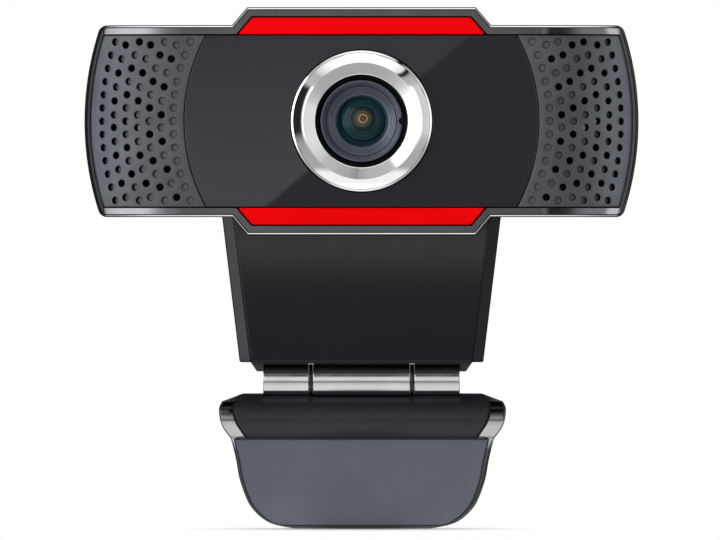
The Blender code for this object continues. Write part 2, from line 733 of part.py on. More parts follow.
def cable_gland():
    """A ribbed rubber sleeve in the back wall, open where the cord comes out."""
    inside = -SHELL_WALL - GAP
    profile = [(2.6, 8.2), (3.0, 5.2), (3.0, 4.6), (3.6, 4.4), (3.6, 3.4), (3.1, 3.2), (3.1, 2.6), (3.9, 2.4),
               (3.9, GAP), (GLAND_NECK, GAP), (GLAND_NECK, inside), (4.2, inside), (4.2, -2.6), (1.9, -2.6),
               (1.9, 8.2)]
    made = turned("cable_gland", profile, (0.0, deep(BACK_DEPTH), high(GLAND_HEIGHT)), "back", SMALL_STEPS)
    return finish(made, BLACK_RUBBER)


def tilt_bracket():
    """A plate on the back of the head with two ears for the tilt pin."""
    back = deep(BACK_DEPTH)
    made = box("tilt_bracket", (-BRACKET_HALF, back + GAP, TILT_HEIGHT - BARREL_OUTER),
               (BRACKET_HALF, back + GAP + BRACKET_PLATE, TILT_HEIGHT + BRACKET_ABOVE_PIN))
    for side in (-1, 1):
        near, far = sorted((side * SIDE_KNUCKLE_INNER, side * EAR_OUTER))
        join(made, box("web", (near, back + 1.0, TILT_HEIGHT - BARREL_OUTER),
                       (far, TILT_PIN[0], TILT_HEIGHT + BARREL_OUTER)),
             rod_across("ear", TILT_PIN, near, far, BARREL_OUTER, TURN_STEPS))
        screw_place = (side * BRACKET_SCREW_X, TILT_HEIGHT)
        cut(made, rod_deep("pilot", screw_place, back - OVERRUN, back + 3.6, SCREW_BORE))
    cut(made, rod_across("pin_bore", TILT_PIN, -BRACKET_HALF, BRACKET_HALF, PIN_BORE))
    return finish(made, SATIN_BLACK)


def head_screws():
    """Screws that close the shell, and hold the board, the lens holder and the tilt bracket."""
    made = [screw_fastener(f"shell_screw_{k}", centre, "back", deep(BACK_DEPTH - SHELL_SCREW_SINK), 15.5, True)
            for k, centre in enumerate(SHELL_SCREWS, 1)]
    for k, side in enumerate((-1, 1), 1):
        made += [
            screw_fastener(f"board_screw_{k}", (side * BOARD_SCREW_X, LENS_HEIGHT), "front",
                           deep(BOARD_FRONT - GAP), 5.0),
            screw_fastener(f"holder_screw_{k}", (side * HOLDER_SCREW_X, LENS_HEIGHT), "back",
                           deep(BOARD_BACK + GAP), 3.2),
            screw_fastener(f"bracket_screw_{k}", (side * BRACKET_SCREW_X, TILT_HEIGHT), "front",
                           deep(BACK_DEPTH - SHELL_WALL - GAP), 5.3),
        ]
    return made


# ---------------------------------------------------------------- focus ring and lens

LENS_CENTRE = (0.0, HEAD_FRONT, LENS_HEIGHT)


def chrome_ring():
    """The turned ring round the lens: an outer lip, a rounded crest and a face that slopes in to the bore."""
    profile = [(12.0, 2.3), (RING_RADIUS, 2.1), (RING_RADIUS, -1.75), (9.0, -1.75), (9.0, -0.9),
               (RING_BORE, -0.9), (RING_BORE, 2.9), (8.4, 3.15), (9.4, 3.75), (10.1, 3.9), (10.6, 3.75),
               (11.75, 2.8), (11.85, 2.3)]
    return finish(turned("chrome_ring", profile, LENS_CENTRE, steps=RING_STEPS), CHROME)


def focus_carrier():
    """The black sleeve behind the ring. Its flange grips the panel from behind, and its key turns the barrel."""
    profile = [(8.85, -1.05), (8.85, -1.9), (13.2, -1.9), (13.2, -3.2), (8.6, -3.2), (8.6, -4.0), (7.25, -4.0),
               (7.25, -1.05)]
    made = turned("focus_carrier", profile, LENS_CENTRE)
    join(made, box("key", (6.75, deep(1.05), high(-KEY_WIDTH / 2)), (7.6, deep(2.9), high(KEY_WIDTH / 2))))
    return finish(made, MATT_BLACK)


def lens_barrel():
    """The threaded barrel, with a stepped mouth in front and a notch in its rim for the focus key."""
    profile = [(6.9, 1.8), (BARREL_RADIUS, 1.6), (BARREL_RADIUS, -3.2), (THREAD_RADIUS, -3.2),
               (THREAD_RADIUS, -9.6), (3.4, -9.6), (3.4, -8.4), (4.35, -8.4), (4.35, -1.0), (6.1, -1.0),
               (6.1, 0.9), (6.6, 1.2), (6.6, 1.8)]
    made = turned("lens_barrel", profile, LENS_CENTRE)
    cut(made, rod_deep("notch", (BARREL_RADIUS, LENS_HEIGHT), deep(-3.0), deep(3.05), NOTCH_RADIUS))
    return finish(made, BLACK_METAL)


def lens_stack():
    """What the barrel holds, from front to back: a retaining ring, two elements and the spacer between them."""
    edge = ELEMENT_RADIUS
    retainer = turned("lens_retainer", [(5.95, 0.6), (5.95, -0.85), (edge, -0.85), (4.6, -0.3), (5.6, 0.6)],
                      LENS_CENTRE)
    front = turned("front_element", [(0.0, -0.35), (1.6, -0.5), (3.0, -0.8), (4.05, -1.35), (edge, -1.6),
                                     (edge, -3.3), (2.0, -3.7), (0.0, -3.85)], LENS_CENTRE, steps=LENS_STEPS)
    spacer = turned("lens_spacer", [(edge, -4.0), (edge, -5.6), (2.7, -5.6), (2.7, -4.6), (3.4, -4.0)],
                    LENS_CENTRE, steps=LENS_STEPS)
    rear = turned("rear_element", [(0.0, -5.5), (2.4, -5.8), (edge, -6.1), (edge, -8.2), (2.8, -8.4),
                                   (0.0, -8.9)], LENS_CENTRE, steps=LENS_STEPS)
    return [finish(retainer, BLACK_METAL), finish(front, LENS_GLASS), finish(spacer, MATT_BLACK),
            finish(rear, LENS_GLASS)]


# ---------------------------------------------------------------- clip arm

UPPER_SCREWS = [(side * UPPER_SCREW_X, ARM_TOP - UPPER_SCREW_DROP) for side in (-1, 1)]
LOWER_SCREWS = [(side * LOWER_SCREW_X, ARM_BOTTOM + LOWER_SCREW_RISE) for side in (-1, 1)]
ARM_LEAF_BACK = CLAMP_PIN[0] + LEAF_THICKNESS / 2


def arm_ring(y, side_inset=0.0, top_inset=0.0, bottom_inset=0.0):
    """The arm's tapering outline at depth y, drawn in from its sides, top and bottom."""
    top_half = ARM_TOP_HALF - side_inset
    bottom_half = ARM_BOTTOM_HALF - side_inset
    top = ARM_TOP - top_inset
    bottom = ARM_BOTTOM + bottom_inset
    return [(-top_half, y, top), (top_half, y, top), (bottom_half, y, bottom), (-bottom_half, y, bottom)]


def arm_front_plate():
    """The glossy plate with a wide bevel down each side. Its flat face rests on the screen."""
    made = stack_loft("arm_front_plate", [arm_ring(ARM_PLATE), arm_ring(ARM_BEVEL_DEPTH),
                                          arm_ring(ARM_EDGE, ARM_BEVEL - 0.5, ARM_EDGE),
                                          arm_ring(0.0, ARM_BEVEL, ARM_EDGE, ARM_EDGE)])
    for centre in UPPER_SCREWS + LOWER_SCREWS:
        cut(made, rod_deep("pilot", centre, 0.8, ARM_PLATE + OVERRUN, SCREW_BORE))
    return finish(made, PIANO_BLACK)


def arm_rear_cover():
    """The hollow back of the arm, with the barrel for the tilt pin above it and a slot for the hinge leaf below."""
    seat = ARM_PLATE + GAP
    floor = ARM_DEPTH - ARM_WALL
    made = stack_loft("arm_rear_cover", [arm_ring(seat), arm_ring(ARM_DEPTH - ARM_BACK_EDGE),
                                         arm_ring(ARM_DEPTH - 0.35, ARM_EDGE, ARM_EDGE, ARM_EDGE),
                                         arm_ring(ARM_DEPTH, ARM_BACK_EDGE, ARM_EDGE, ARM_BACK_EDGE)])
    pocket = [arm_ring(y, ARM_WALL, ARM_WALL, ARM_WALL) for y in (seat - OVERRUN, floor)]
    cut(made, stack_loft("pocket", pocket))
    join(made, rod_across("barrel", TILT_PIN, -CENTRE_KNUCKLE, CENTRE_KNUCKLE, BARREL_OUTER, TURN_STEPS),
         box("neck", (-NECK_HALF, GAP, ARM_TOP + GAP), (NECK_HALF, ARM_DEPTH - GAP, TILT_HEIGHT + 0.5)),
         box("root", (-NECK_HALF, seat + GAP, ARM_TOP - 0.9), (NECK_HALF, ARM_DEPTH - 2 * GAP, ARM_TOP + 1.0)))
    cut(made, rod_across("pin_bore", TILT_PIN, -CENTRE_KNUCKLE - OVERRUN, CENTRE_KNUCKLE + OVERRUN, PIN_BORE),
        box("leaf_slot", (-SHOULDER_HALF - GAP, 0.0, ARM_BOTTOM - OVERRUN),
            (SHOULDER_HALF + GAP, ARM_LEAF_BACK + GAP, ARM_BOTTOM + 2.0)))
    for screws, start in ((UPPER_SCREWS, seat), (LOWER_SCREWS, ARM_LEAF_BACK + GAP)):
        for centre in screws:
            join(made, rod_deep("post", centre, start, floor + 0.4, ARM_POST))
            cut(made, rod_deep("bore", centre, 0.0, ARM_DEPTH + OVERRUN, SCREW_BORE),
                rod_deep("head_bore", centre, ARM_DEPTH - ARM_SCREW_SINK, ARM_DEPTH + OVERRUN, HEAD_BORE))
    return finish(made, SATIN_BLACK)


def clamp_knuckles():
    """A chromed leaf between the arm's two halves, with a knuckle and a shoulder each side."""
    leaf_top = ARM_BOTTOM + ARM_LEAF_RISE
    tip = ARM_BOTTOM - SHOULDER_DROP
    left = [(-SHOULDER_HALF, leaf_top), (-SHOULDER_HALF, ARM_BOTTOM), (-SHOULDER_TIP, tip),
            (-SIDE_KNUCKLE_OUTER, tip), (-SIDE_KNUCKLE_OUTER, CLAMP_HEIGHT),
            (-SIDE_KNUCKLE_INNER, CLAMP_HEIGHT), (-SIDE_KNUCKLE_INNER, ARM_BOTTOM + 0.3)]
    outline = left + [(-x, z) for x, z in reversed(left)]
    made = outline_solid("clamp_knuckles", outline, ARM_LEAF_BACK - LEAF_THICKNESS, ARM_LEAF_BACK, "Y")
    for side in (-1, 1):
        near, far = sorted((side * SIDE_KNUCKLE_INNER, side * SIDE_KNUCKLE_OUTER))
        join(made, rod_across("knuckle", CLAMP_PIN, near, far, BARREL_OUTER, TURN_STEPS))
    cut(made, rod_across("pin_bore", CLAMP_PIN, -SHOULDER_HALF, SHOULDER_HALF, PIN_BORE))
    for centre in LOWER_SCREWS:
        cut(made, rod_deep("screw_hole", centre, 0.0, ARM_DEPTH, SCREW_BORE + 0.2))
    return finish(made, CHROME)


def hinge_pin(name, pin, half_length):
    return finish(rod_across(name, pin, -half_length, half_length, PIN_RADIUS), STEEL)


def hinge_washers(hinge, pin):
    """A friction washer in each of a hinge's two gaps."""
    middle = (CENTRE_KNUCKLE + SIDE_KNUCKLE_INNER) / 2
    made = []
    for side, word in ((-1, "left"), (1, "right")):
        left = side * middle - WASHER_THICKNESS / 2
        right = side * middle + WASHER_THICKNESS / 2
        washer = rod_across(f"{hinge}_washer_{word}", pin, left, right, WASHER_OUTER)
        cut(washer, rod_across("bore", pin, left - OVERRUN, right + OVERRUN, PIN_BORE))
        made.append(finish(washer, STEEL))
    return made


def arm_screws():
    return [screw_fastener(f"arm_screw_{k}", centre, "back", ARM_DEPTH - ARM_SCREW_SINK + GAP, 3.3, True)
            for k, centre in enumerate(UPPER_SCREWS + LOWER_SCREWS, 1)]


# ---------------------------------------------------------------- clip leg

LEG_SCREWS = [(side * LEG_SCREW_X, CLAMP_HEIGHT - LEG_SCREW_DROP) for side in (-1, 1)]


def both_sides(right):
    """Mirror a right-hand chain of (x, height above the lens axis), and lift it into the world."""
    return lift(right + [(-x, z) for x, z in reversed(right)])


def pad_outline(inset):
    """The pad's outline below the crease, drawn in evenly."""
    top = [(PAD_OUTLINE[0][0] - inset, CREASE + BEAD_WIDTH - inset)]
    return both_sides(top + [(x - inset, max(z, LEG_BOTTOM + inset)) for x, z in PAD_OUTLINE[1:]])


def leg_section(proud):
    """The leg seen from the side: a roll across the top, a crease, and a flat face down to the rounded toe."""
    crease = high(CREASE)
    top = high(LEG_TOP)
    bottom = high(LEG_BOTTOM)
    face = PAD_FRONT - proud
    radius = ROLL_RADIUS + proud
    end = 180.0 + degrees(asin((ROLL_CENTRE[1] - crease) / radius))
    return arc(ROLL_CENTRE, radius, 90.0, end, ROLL_STEPS) + [
        (face, crease), (face, bottom + LEG_EDGE / 2), (face + LEG_EDGE / 2, bottom),
        (LEG_BACK - LEG_EDGE, bottom), (LEG_BACK, bottom + LEG_EDGE), (LEG_BACK, top - LEG_EDGE),
        (LEG_BACK - LEG_EDGE, top)]


def leg_slab(name, outline, front, back, proud):
    """An outline seen from the front, trimmed to the leg's section seen from the side."""
    made = outline_solid(name, outline, front, back, "Y")
    return trim(made, outline_solid("section", leg_section(proud), -END_X, END_X, "X"))


def hinge_room():
    """The round hollow that the arm's knuckles turn in."""
    half = SIDE_KNUCKLE_OUTER + KNUCKLE_ROOM
    return rod_across("hinge_room", CLAMP_PIN, -half, half, BARREL_OUTER + KNUCKLE_ROOM, TURN_STEPS)


def leaf_room(front, back):
    """The flat hollow that the leg's hinge leaf lies in."""
    half = CENTRE_KNUCKLE + 2 * GAP
    return box("leaf_room", (-half, front, CLAMP_HEIGHT - LEG_LEAF_DROP - GAP), (half, back, CLAMP_HEIGHT))


def leg_shell():
    """The leg's body: cheeks beside the roll cover and a thin bead round the pad."""
    outline = both_sides(CHEEK_OUTLINE + PAD_OUTLINE)
    made = leg_slab("leg_shell", outline, -5.0, LEG_BACK + OVERRUN, CHEEK_PROUD)
    cut(made, outline_solid("cover_pocket", both_sides(ROLL_OUTLINE), -5.0, COVER_SEAT, "Y"),
        outline_solid("pad_pocket", pad_outline(BEAD_WIDTH), -5.0, PAD_FRONT + PAD_THICKNESS + GAP, "Y"),
        hinge_room(), leaf_room(-5.0, LEG_LEAF_FRONT + LEAF_THICKNESS + GAP))
    for centre in LEG_SCREWS:
        cut(made, rod_deep("pilot", centre, 0.0, LEG_LEAF_FRONT + 2.35, SCREW_BORE))
    return finish(made, PIANO_BLACK)


def leg_roll_cover():
    """The satin half-round cover that hides the hinge leaf."""
    corner = (ROLL_OUTLINE[-1][0] - GAP, CREASE + GAP)
    outline = both_sides([(x - GAP, z) for x, z in ROLL_OUTLINE[:-1]] + [corner])
    made = leg_slab("leg_roll_cover", outline, -5.0, COVER_SEAT - GAP, 0.0)
    cut(made, hinge_room(), leaf_room(CLAMP_PIN[0] - LEG_SCREW_ROOM, COVER_SEAT))
    return finish(made, SATIN_BLACK)


def leg_pad():
    """The rubber pad that presses on the back of the screen."""
    made = outline_solid("leg_pad", pad_outline(BEAD_WIDTH + GAP), PAD_FRONT, PAD_FRONT + PAD_THICKNESS, "Y")
    return finish(made, RUBBER_GREY)


def leg_hinge_leaf():
    """The centre knuckle, with a leaf that runs down under the roll cover."""
    made = rod_across("leg_hinge_leaf", CLAMP_PIN, -CENTRE_KNUCKLE, CENTRE_KNUCKLE, BARREL_OUTER, TURN_STEPS)
    join(made, box("leaf", (-CENTRE_KNUCKLE, LEG_LEAF_FRONT, CLAMP_HEIGHT - LEG_LEAF_DROP),
                   (CENTRE_KNUCKLE, LEG_LEAF_FRONT + LEAF_THICKNESS, CLAMP_HEIGHT - PIN_BORE - 0.4)))
    cut(made, rod_across("pin_bore", CLAMP_PIN, -CENTRE_KNUCKLE - OVERRUN, CENTRE_KNUCKLE + OVERRUN, PIN_BORE))
    for centre in LEG_SCREWS:
        cut(made, rod_deep("screw_hole", centre, CLAMP_PIN[0] - OVERRUN, LEG_BACK, SCREW_BORE))
    return finish(made, CHROME)


def leg_screws():
    return [screw_fastener(f"leg_screw_{k}", centre, "front", LEG_LEAF_FRONT - GAP, 2.3)
            for k, centre in enumerate(LEG_SCREWS, 1)]


# ---------------------------------------------------------------- assembly

def pivot(name, place, parent=None):
    """An empty on a joint's axis. What moves with the joint hangs from it."""
    made = new_object(name, None)
    made.empty_display_size = 0.01
    made.location = Vector(place) * MM
    if parent:
        hang(made, parent)
    return made


empty_scene()
PARTS = new_collection("clip_webcam")
CUTTERS = new_collection("cutters")

head_pivot = pivot("head_pivot", (0.0, *TILT_PIN))
focus_pivot = pivot("focus_pivot", LENS_CENTRE, head_pivot)
lens_slide = pivot("lens_slide", LENS_CENTRE, focus_pivot)
leg_pivot = pivot("leg_pivot", (0.0, *CLAMP_PIN))

arm = [arm_front_plate(), arm_rear_cover(), clamp_knuckles(), hinge_pin("tilt_pin", TILT_PIN, EAR_OUTER - 0.3),
       hinge_pin("clamp_pin", CLAMP_PIN, SIDE_KNUCKLE_OUTER - 0.2), *hinge_washers("tilt", TILT_PIN),
       *hinge_washers("clamp", CLAMP_PIN), *arm_screws()]
head = [front_frame(), rear_shell(), lens_panel(), grille("grille_left", -1), grille("grille_right", 1),
        accent("accent_top", 1), accent("accent_bottom", -1), main_board(), *soldered_parts(), lens_holder(),
        infrared_filter(), *microphone(-1, "left"), *microphone(1, "right"), cable_gland(), tilt_bracket(),
        *head_screws()]
ring = [chrome_ring(), focus_carrier()]
lens = [lens_barrel(), *lens_stack()]
leg = [leg_shell(), leg_roll_cover(), leg_pad(), leg_hinge_leaf(), *leg_screws()]

for members, carrier in ((head, head_pivot), (ring, focus_pivot), (lens, lens_slide), (leg, leg_pivot)):
    for member in members:
        hang(member, carrier)
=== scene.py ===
"""Clip-on webcam: finished surfaces, materials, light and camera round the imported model.

Lengths are in millimetres, and become metres when a piece is made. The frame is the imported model's: +X to the
right seen from the front, -Y forward out of the lens and +Z up.
"""
import json
from math import asin, atan2, cos, degrees, hypot, pi, radians, sin, sqrt, tan

import bmesh
import bpy
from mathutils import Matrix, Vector
from mathutils.geometry import delaunay_2d_cdt


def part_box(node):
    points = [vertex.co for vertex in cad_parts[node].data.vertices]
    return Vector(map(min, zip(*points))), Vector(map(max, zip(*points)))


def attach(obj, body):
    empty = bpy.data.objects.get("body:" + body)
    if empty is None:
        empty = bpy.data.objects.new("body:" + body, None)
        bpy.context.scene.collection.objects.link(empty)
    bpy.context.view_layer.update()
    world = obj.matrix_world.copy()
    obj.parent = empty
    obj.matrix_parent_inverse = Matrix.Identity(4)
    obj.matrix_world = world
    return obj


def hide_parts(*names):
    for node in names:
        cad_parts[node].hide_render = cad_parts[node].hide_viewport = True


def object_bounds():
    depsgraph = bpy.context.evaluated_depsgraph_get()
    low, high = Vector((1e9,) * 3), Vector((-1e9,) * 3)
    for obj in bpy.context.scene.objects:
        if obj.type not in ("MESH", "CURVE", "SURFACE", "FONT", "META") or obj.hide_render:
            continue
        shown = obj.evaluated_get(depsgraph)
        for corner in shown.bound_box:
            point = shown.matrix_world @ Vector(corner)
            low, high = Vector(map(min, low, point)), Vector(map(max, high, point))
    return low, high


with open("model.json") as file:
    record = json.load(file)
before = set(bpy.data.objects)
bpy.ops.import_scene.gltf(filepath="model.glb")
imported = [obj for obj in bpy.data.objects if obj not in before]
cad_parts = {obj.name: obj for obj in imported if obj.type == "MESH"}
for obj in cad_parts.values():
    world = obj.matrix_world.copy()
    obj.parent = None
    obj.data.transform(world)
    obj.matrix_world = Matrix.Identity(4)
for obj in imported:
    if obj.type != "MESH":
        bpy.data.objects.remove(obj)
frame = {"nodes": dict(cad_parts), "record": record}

MM = 0.001
CAD_LOW, CAD_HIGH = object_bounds()
GAP = 0.15                      # seam between neighbouring pieces
OVERRUN = 1.0                   # how far a cutter runs past the face it cuts
ROUND_STEPS = 160               # facets round the focus ring
BARREL_STEPS = 72               # facets round a hinge barrel
SMALL_STEPS = 40                # facets round a screw or pin
EDGE_STEPS = 4                  # facets round a softened edge
FLAT_SHARP = 9.0                # keeps mirror-flat faces free of their edges' slopes, in degrees


def corners(node):
    """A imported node's lowest and highest corners, in millimetres."""
    low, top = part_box(node)
    return low / MM, top / MM


RING_LOW, RING_HIGH = corners("chrome_ring")
PANEL_LOW, PANEL_HIGH = corners("lens_panel")
FRAME_HIGH = corners("front_frame")[1]
SHELL_HIGH = corners("rear_shell")[1]
PLATE_LOW, PLATE_HIGH = corners("arm_front_plate")
COVER_HIGH = corners("arm_rear_cover")[1]
BRACKET_LOW, BRACKET_HIGH = corners("tilt_bracket")
KNUCKLES_HIGH = corners("clamp_knuckles")[1]
LEAF_HIGH = corners("leg_hinge_leaf")[1]
LEG_LOW, LEG_HIGH = corners("leg_shell")
PAD_LOW, PAD_HIGH = corners("leg_pad")

HEAD_FRONT = PANEL_LOW.y
LENS_HEIGHT = (RING_LOW.z + RING_HIGH.z) / 2
LENS_CENTRE = (0.0, HEAD_FRONT, LENS_HEIGHT)

# Head outline, seen from the front, with heights above the lens axis
END_RADIUS = 50.4
END_CENTRE_X = FRAME_HIGH.x - END_RADIUS
CORNER_RADIUS = 1.6
WING_TOP = 16.6
BUMP_FOOT_X = 22.4
BUMP_HEIGHT = FRAME_HIGH.z - LENS_HEIGHT - WING_TOP
BUMP_RUN = 2.65
BUMP_SHIFT = (hypot(BUMP_HEIGHT, BUMP_RUN) - BUMP_RUN) / BUMP_HEIGHT
BUMP_SOFT = 0.22
END_STEPS = 22
CORNER_STEPS = 8
WING_STEPS = 26
BUMP_STEPS = 3

# Head depth, seen from above
FLAT_X = 31.0
FRONT_CURVE = 22.0
FRAME_DEPTH = 3.8
FRAME_CURVE = 26.0
BACK_FLAT_X = 26.0
BACK_DEPTH = SHELL_HIGH.y - HEAD_FRONT
BACK_CURVE = 43.3

# Front frame
RAIL_FACE = -0.5                # the rails stand proud of the panel
RAIL_EDGE = 0.16                # the outer chamfer, painted black as painted shade
RAIL_LINE = 0.34                # where the painted highlight line ends
RAIL_GROOVE = 0.50              # where the groove, painted black as painted shade, ends
END_STRIP_X = 43.0
OPENING_END = 1.0
OPENING_TOP = 1.6
OPENING_CORNER = 0.4
OPENING_SOFT = 0.06
LEDGE_DEPTH = 1.75
LEDGE_WIDTH = 1.5

# Rear shell
SHELL_WALL = 1.6
SHELL_STRAIGHT = 0.72
SHELL_DRAFT = 0.4
SHELL_EDGE = 4.2
SHELL_EDGE_STEPS = 14
BUMP_AT_EDGE = 2.3
BUMP_AT_BACK = 0.8
SHELL_SCREWS = [(side * 33.0, LENS_HEIGHT + level * 12.0) for side in (-1, 1) for level in (-1, 1)]
SHELL_SCREW_SINK = 2.85
GLAND_RISE = 7.0
GLAND_NECK = 3.05

# Panel, grilles and accents
PANEL_THICKNESS = PANEL_HIGH.y - PANEL_LOW.y
PANEL_TOP = PANEL_HIGH.z - LENS_HEIGHT
PANEL_EDGE = 0.12
SEAM_RADIUS = 30.95
SEAM_CENTRE = (-0.25, 0.0)
SEAM_STEPS = 40
GRILLE_EDGE = 0.85
HOLE_RADIUS = 0.64
HOLE_SIDES = 24
HOLE_LIP = 0.11
DIMPLE_SHALLOW = 0.3            # at the seam with the panel
DIMPLE_DEEP = 1.15              # at the outer end
FIRST_COLUMN_X = 45.0
COLUMN_STEP = 2.07
ODD_ROW_STEP = 2.285
EVEN_ROW_START = 1.09
EVEN_ROW_STEP = 2.417
COLUMN_RADII = (41.7, 42.7, 40.2, 38.7, 35.7, 33.6, 32.6)
ACCENT_FOOT_X = 21.4
ACCENT_TIP_X = 18.9
ACCENT_TOP = 17.94
ACCENT_PROUD = 0.2

# Focus ring and lens
RING_RADIUS = RING_HIGH.x
RING_BORE = 8.0
RING_CREST = (10.1, 3.9)        # as (radius, height)
LIP_WIDTH = 0.36
BAND_FOOT_TILT = 48.0           # the rounded band's slope beside the lip, in degrees
BAND_CREST_TILT = 36.0
RING_GAP = 0.24                 # dark gap round the focus ring
BARREL_RADIUS = 7.08
NOTCH_RADIUS = 0.66
ELEMENT_RADIUS = 4.2
ELEMENT_SPHERE = 7.68
ELEMENT_CREST = -0.35
REFLECTION_LEAN = (0.25, 0.0, 0.45)  # how far the painted reflection rings in the glass sit off its axis
CONE_STEPS = 4
COATED_REACH = 4.5

# Hinges, as (y, z)
BARREL_OUTER = 2.85
BARREL_SOFT = 0.15
PIN_RADIUS = 1.0
PIN_BORE = 1.12
CENTRE_KNUCKLE = LEAF_HIGH.x
SIDE_KNUCKLE_INNER = 9.2
SIDE_KNUCKLE_OUTER = 17.1
WASHER_OUTER = BARREL_OUTER - 0.05
WASHER_PLAY = 0.02
TILT_HEIGHT = LENS_HEIGHT - 8.0
TILT_PIN = (BARREL_OUTER, TILT_HEIGHT)
CLAMP_HEIGHT = LENS_HEIGHT - 44.9
CLAMP_PIN = (BARREL_OUTER, CLAMP_HEIGHT)
EAR_OUTER = 14.2
BRACKET_PLATE = 1.6

# Clip arm
ARM_SPREAD = 0.15
ARM_TOP = PLATE_HIGH.z
ARM_BOTTOM = PLATE_LOW.z
ARM_TOP_HALF = PLATE_HIGH.x + ARM_SPREAD
ARM_BOTTOM_HALF = 21.05 + ARM_SPREAD
ARM_CORNER = 0.35
ARM_BEVEL = 2.1
ARM_PLATE = PLATE_HIGH.y
ARM_DEPTH = COVER_HIGH.y
ARM_WALL = 1.3
NECK_HALF = 8.2
ARM_SCREW_SINK = 1.4
ARM_SCREW_POST = 2.4
UPPER_SCREWS = [(side * 18.5, ARM_TOP - 4.0) for side in (-1, 1)]
LOWER_SCREWS = [(side * 12.8, ARM_BOTTOM + 4.9) for side in (-1, 1)]
LEAF_THICKNESS = 1.2
ARM_LEAF_BACK = CLAMP_PIN[0] + LEAF_THICKNESS / 2
SHOULDER_HALF = KNUCKLES_HIGH.x
SHOULDER_TIP = 18.2
SHOULDER_DROP = 1.6

# Clip leg, with heights above the lens axis
ROLL_CENTRE = (CLAMP_PIN[0] + 1.2, CLAMP_HEIGHT - 6.6)
ROLL_MIDDLE = ROLL_CENTRE[1] - LENS_HEIGHT
ROLL_RADIUS = 4.2
ROLL_STEPS = 44
ROLL_GAP = 0.26
CHEEK_PROUD = 0.2
CREASE = -55.1
LEG_TOP = LEG_HIGH.z - LENS_HEIGHT
LEG_BOTTOM = LEG_LOW.z - LENS_HEIGHT
LEG_BACK = LEG_HIGH.y
LEG_SPREAD = 0.17               # the leg's shell sits a little right of centre
LEG_SOFT = 0.8
LEG_LEAF_FRONT = CLAMP_PIN[0] + 0.1
LEG_LEAF_DROP = 9.2
SLICE_POINTS = 28               # round a level slice of the leg
SLICE_FRONT = range(3, 10)      # the faces of a slice that look forward
COVER_SEAT = CLAMP_PIN[0] - 0.05
PAD_FRONT = PAD_LOW.y
PAD_BACK = PAD_HIGH.y
BEAD_WIDTH = 0.45
KNUCKLE_ROOM = 0.25
LEAF_ROOM = 0.06
AHEAD_OF_ALL = -5.0
CHEEK_OUTLINE = [(20.6, LEG_TOP), (24.3, -48.6), (24.8, -49.9), (24.6, -51.8), (24.1, -53.2), (23.2, -54.5)]
PAD_OUTLINE = [(22.7, CREASE - 0.2), (21.85, -58.7), (21.2, -62.2), (20.0, -65.6), (18.9, -67.4),
               (17.1, -69.1), (15.0, -70.1), (11.5, LEG_BOTTOM)]
ROLL_OUTLINE = [(20.7, LEG_TOP), (22.6, -49.5), (22.4, -51.1), (21.9, -52.5), (21.2, -53.6), (20.2, CREASE)]

# Fasteners
SCREW_HEAD = 1.8
SCREW_HEAD_HEIGHT = 1.2
SCREW_SHANK = 0.95
HEAD_BORE = 2.0

# Camera
CAMERA_DISTANCE = 4000.0
CAMERA_X = -0.26
CAMERA_Z = 4.25
FRAME_WIDTH = 124.5             # what the image takes in, side to side, at the panel
SENSOR_WIDTH = 36.0

# What a mirror flat on the object's front would show, by height above the camera's axis. Ranges
# are (start, stop).
AHEAD = (0.9985, 0.9994)        # how nearly straight ahead a direction is
EDGE_SLOPE = 0.836              # a slanting edge between a bright and a dim side
EDGE_HEIGHT = 28.7 - CAMERA_Z - CAMERA_X * EDGE_SLOPE
EDGE_SOFT = 0.6
UPPER_LEFT_HEIGHTS = (12.0, 45.0)
UPPER_LEFT = (1.2, 0.65)
LOWER_RIGHT = 0.40
HEAD_FOOT = (7.0, 7.6)
ARM_LOW = (-16.0, -4.0)
ARM_LOW_TONES = (0.34, 0.56)
ARM_HIGH = (-4.0, 5.0)
ARM_HIGH_TONE = 1.9
FRONT_MIDDLE = 14.0
FRONT_REACH = (34.0, 44.0)
BESIDE_FRONT = 1.25

# The room as (degrees, brightness): round the horizon, growing to the left, then upward in four directions
AROUND = [(-180.0, 0.9), (-158.0, 0.9), (-148.0, 0.05), (-124.0, 0.05), (-110.0, 0.8), (-78.0, 0.65),
          (-74.0, 2.5),
          (-66.0, 2.5), (-61.0, 0.85), (-42.0, 0.82), (-36.0, 0.65), (-31.0, 0.42), (-26.0, 0.24),
          (-20.0, 0.16),
          (-8.0, 0.2), (-4.0, 1.25), (4.0, 1.25), (8.0, 1.5), (15.0, 1.5), (21.0, 1.8), (26.0, 2.2),
          (32.0, 2.7),
          (38.0, 3.0), (60.0, 3.0), (66.0, 2.6), (71.0, 2.4), (74.0, 1.5), (77.0, 0.02), (148.0, 0.02),
          (158.0, 0.9), (180.0, 0.9)]
OVER_FRONT = [(-90.0, 0.43), (22.0, 0.7), (26.0, 0.02), (40.0, 0.02), (43.0, 0.43), (55.0, 0.5), (60.0, 1.4),
              (90.0, 1.4)]
OVER_LEFT = [(-90.0, 0.6), (30.0, 0.6), (45.0, 0.48), (50.0, 0.75), (62.0, 1.2), (90.0, 1.3)]
OVER_RIGHT = [(-90.0, 0.6), (30.0, 0.6), (44.0, 0.43), (46.5, 0.02), (49.0, 0.02), (51.0, 0.8), (62.0, 1.3),
              (90.0, 1.3)]
OVER_BACK = [(-90.0, 0.05), (66.0, 0.05), (78.0, 1.2), (90.0, 1.2)]
SIDE_RISE = (30.0, 36.0)        # in degrees, where the horizon's tones give way to those above
LEFT_TURN = (-4.0, 4.0)
BACK_TURN = (98.0, 108.0)
FRONT_TURN = (2.0, 4.0)
FRONT_RISE = (19.0, 21.0)

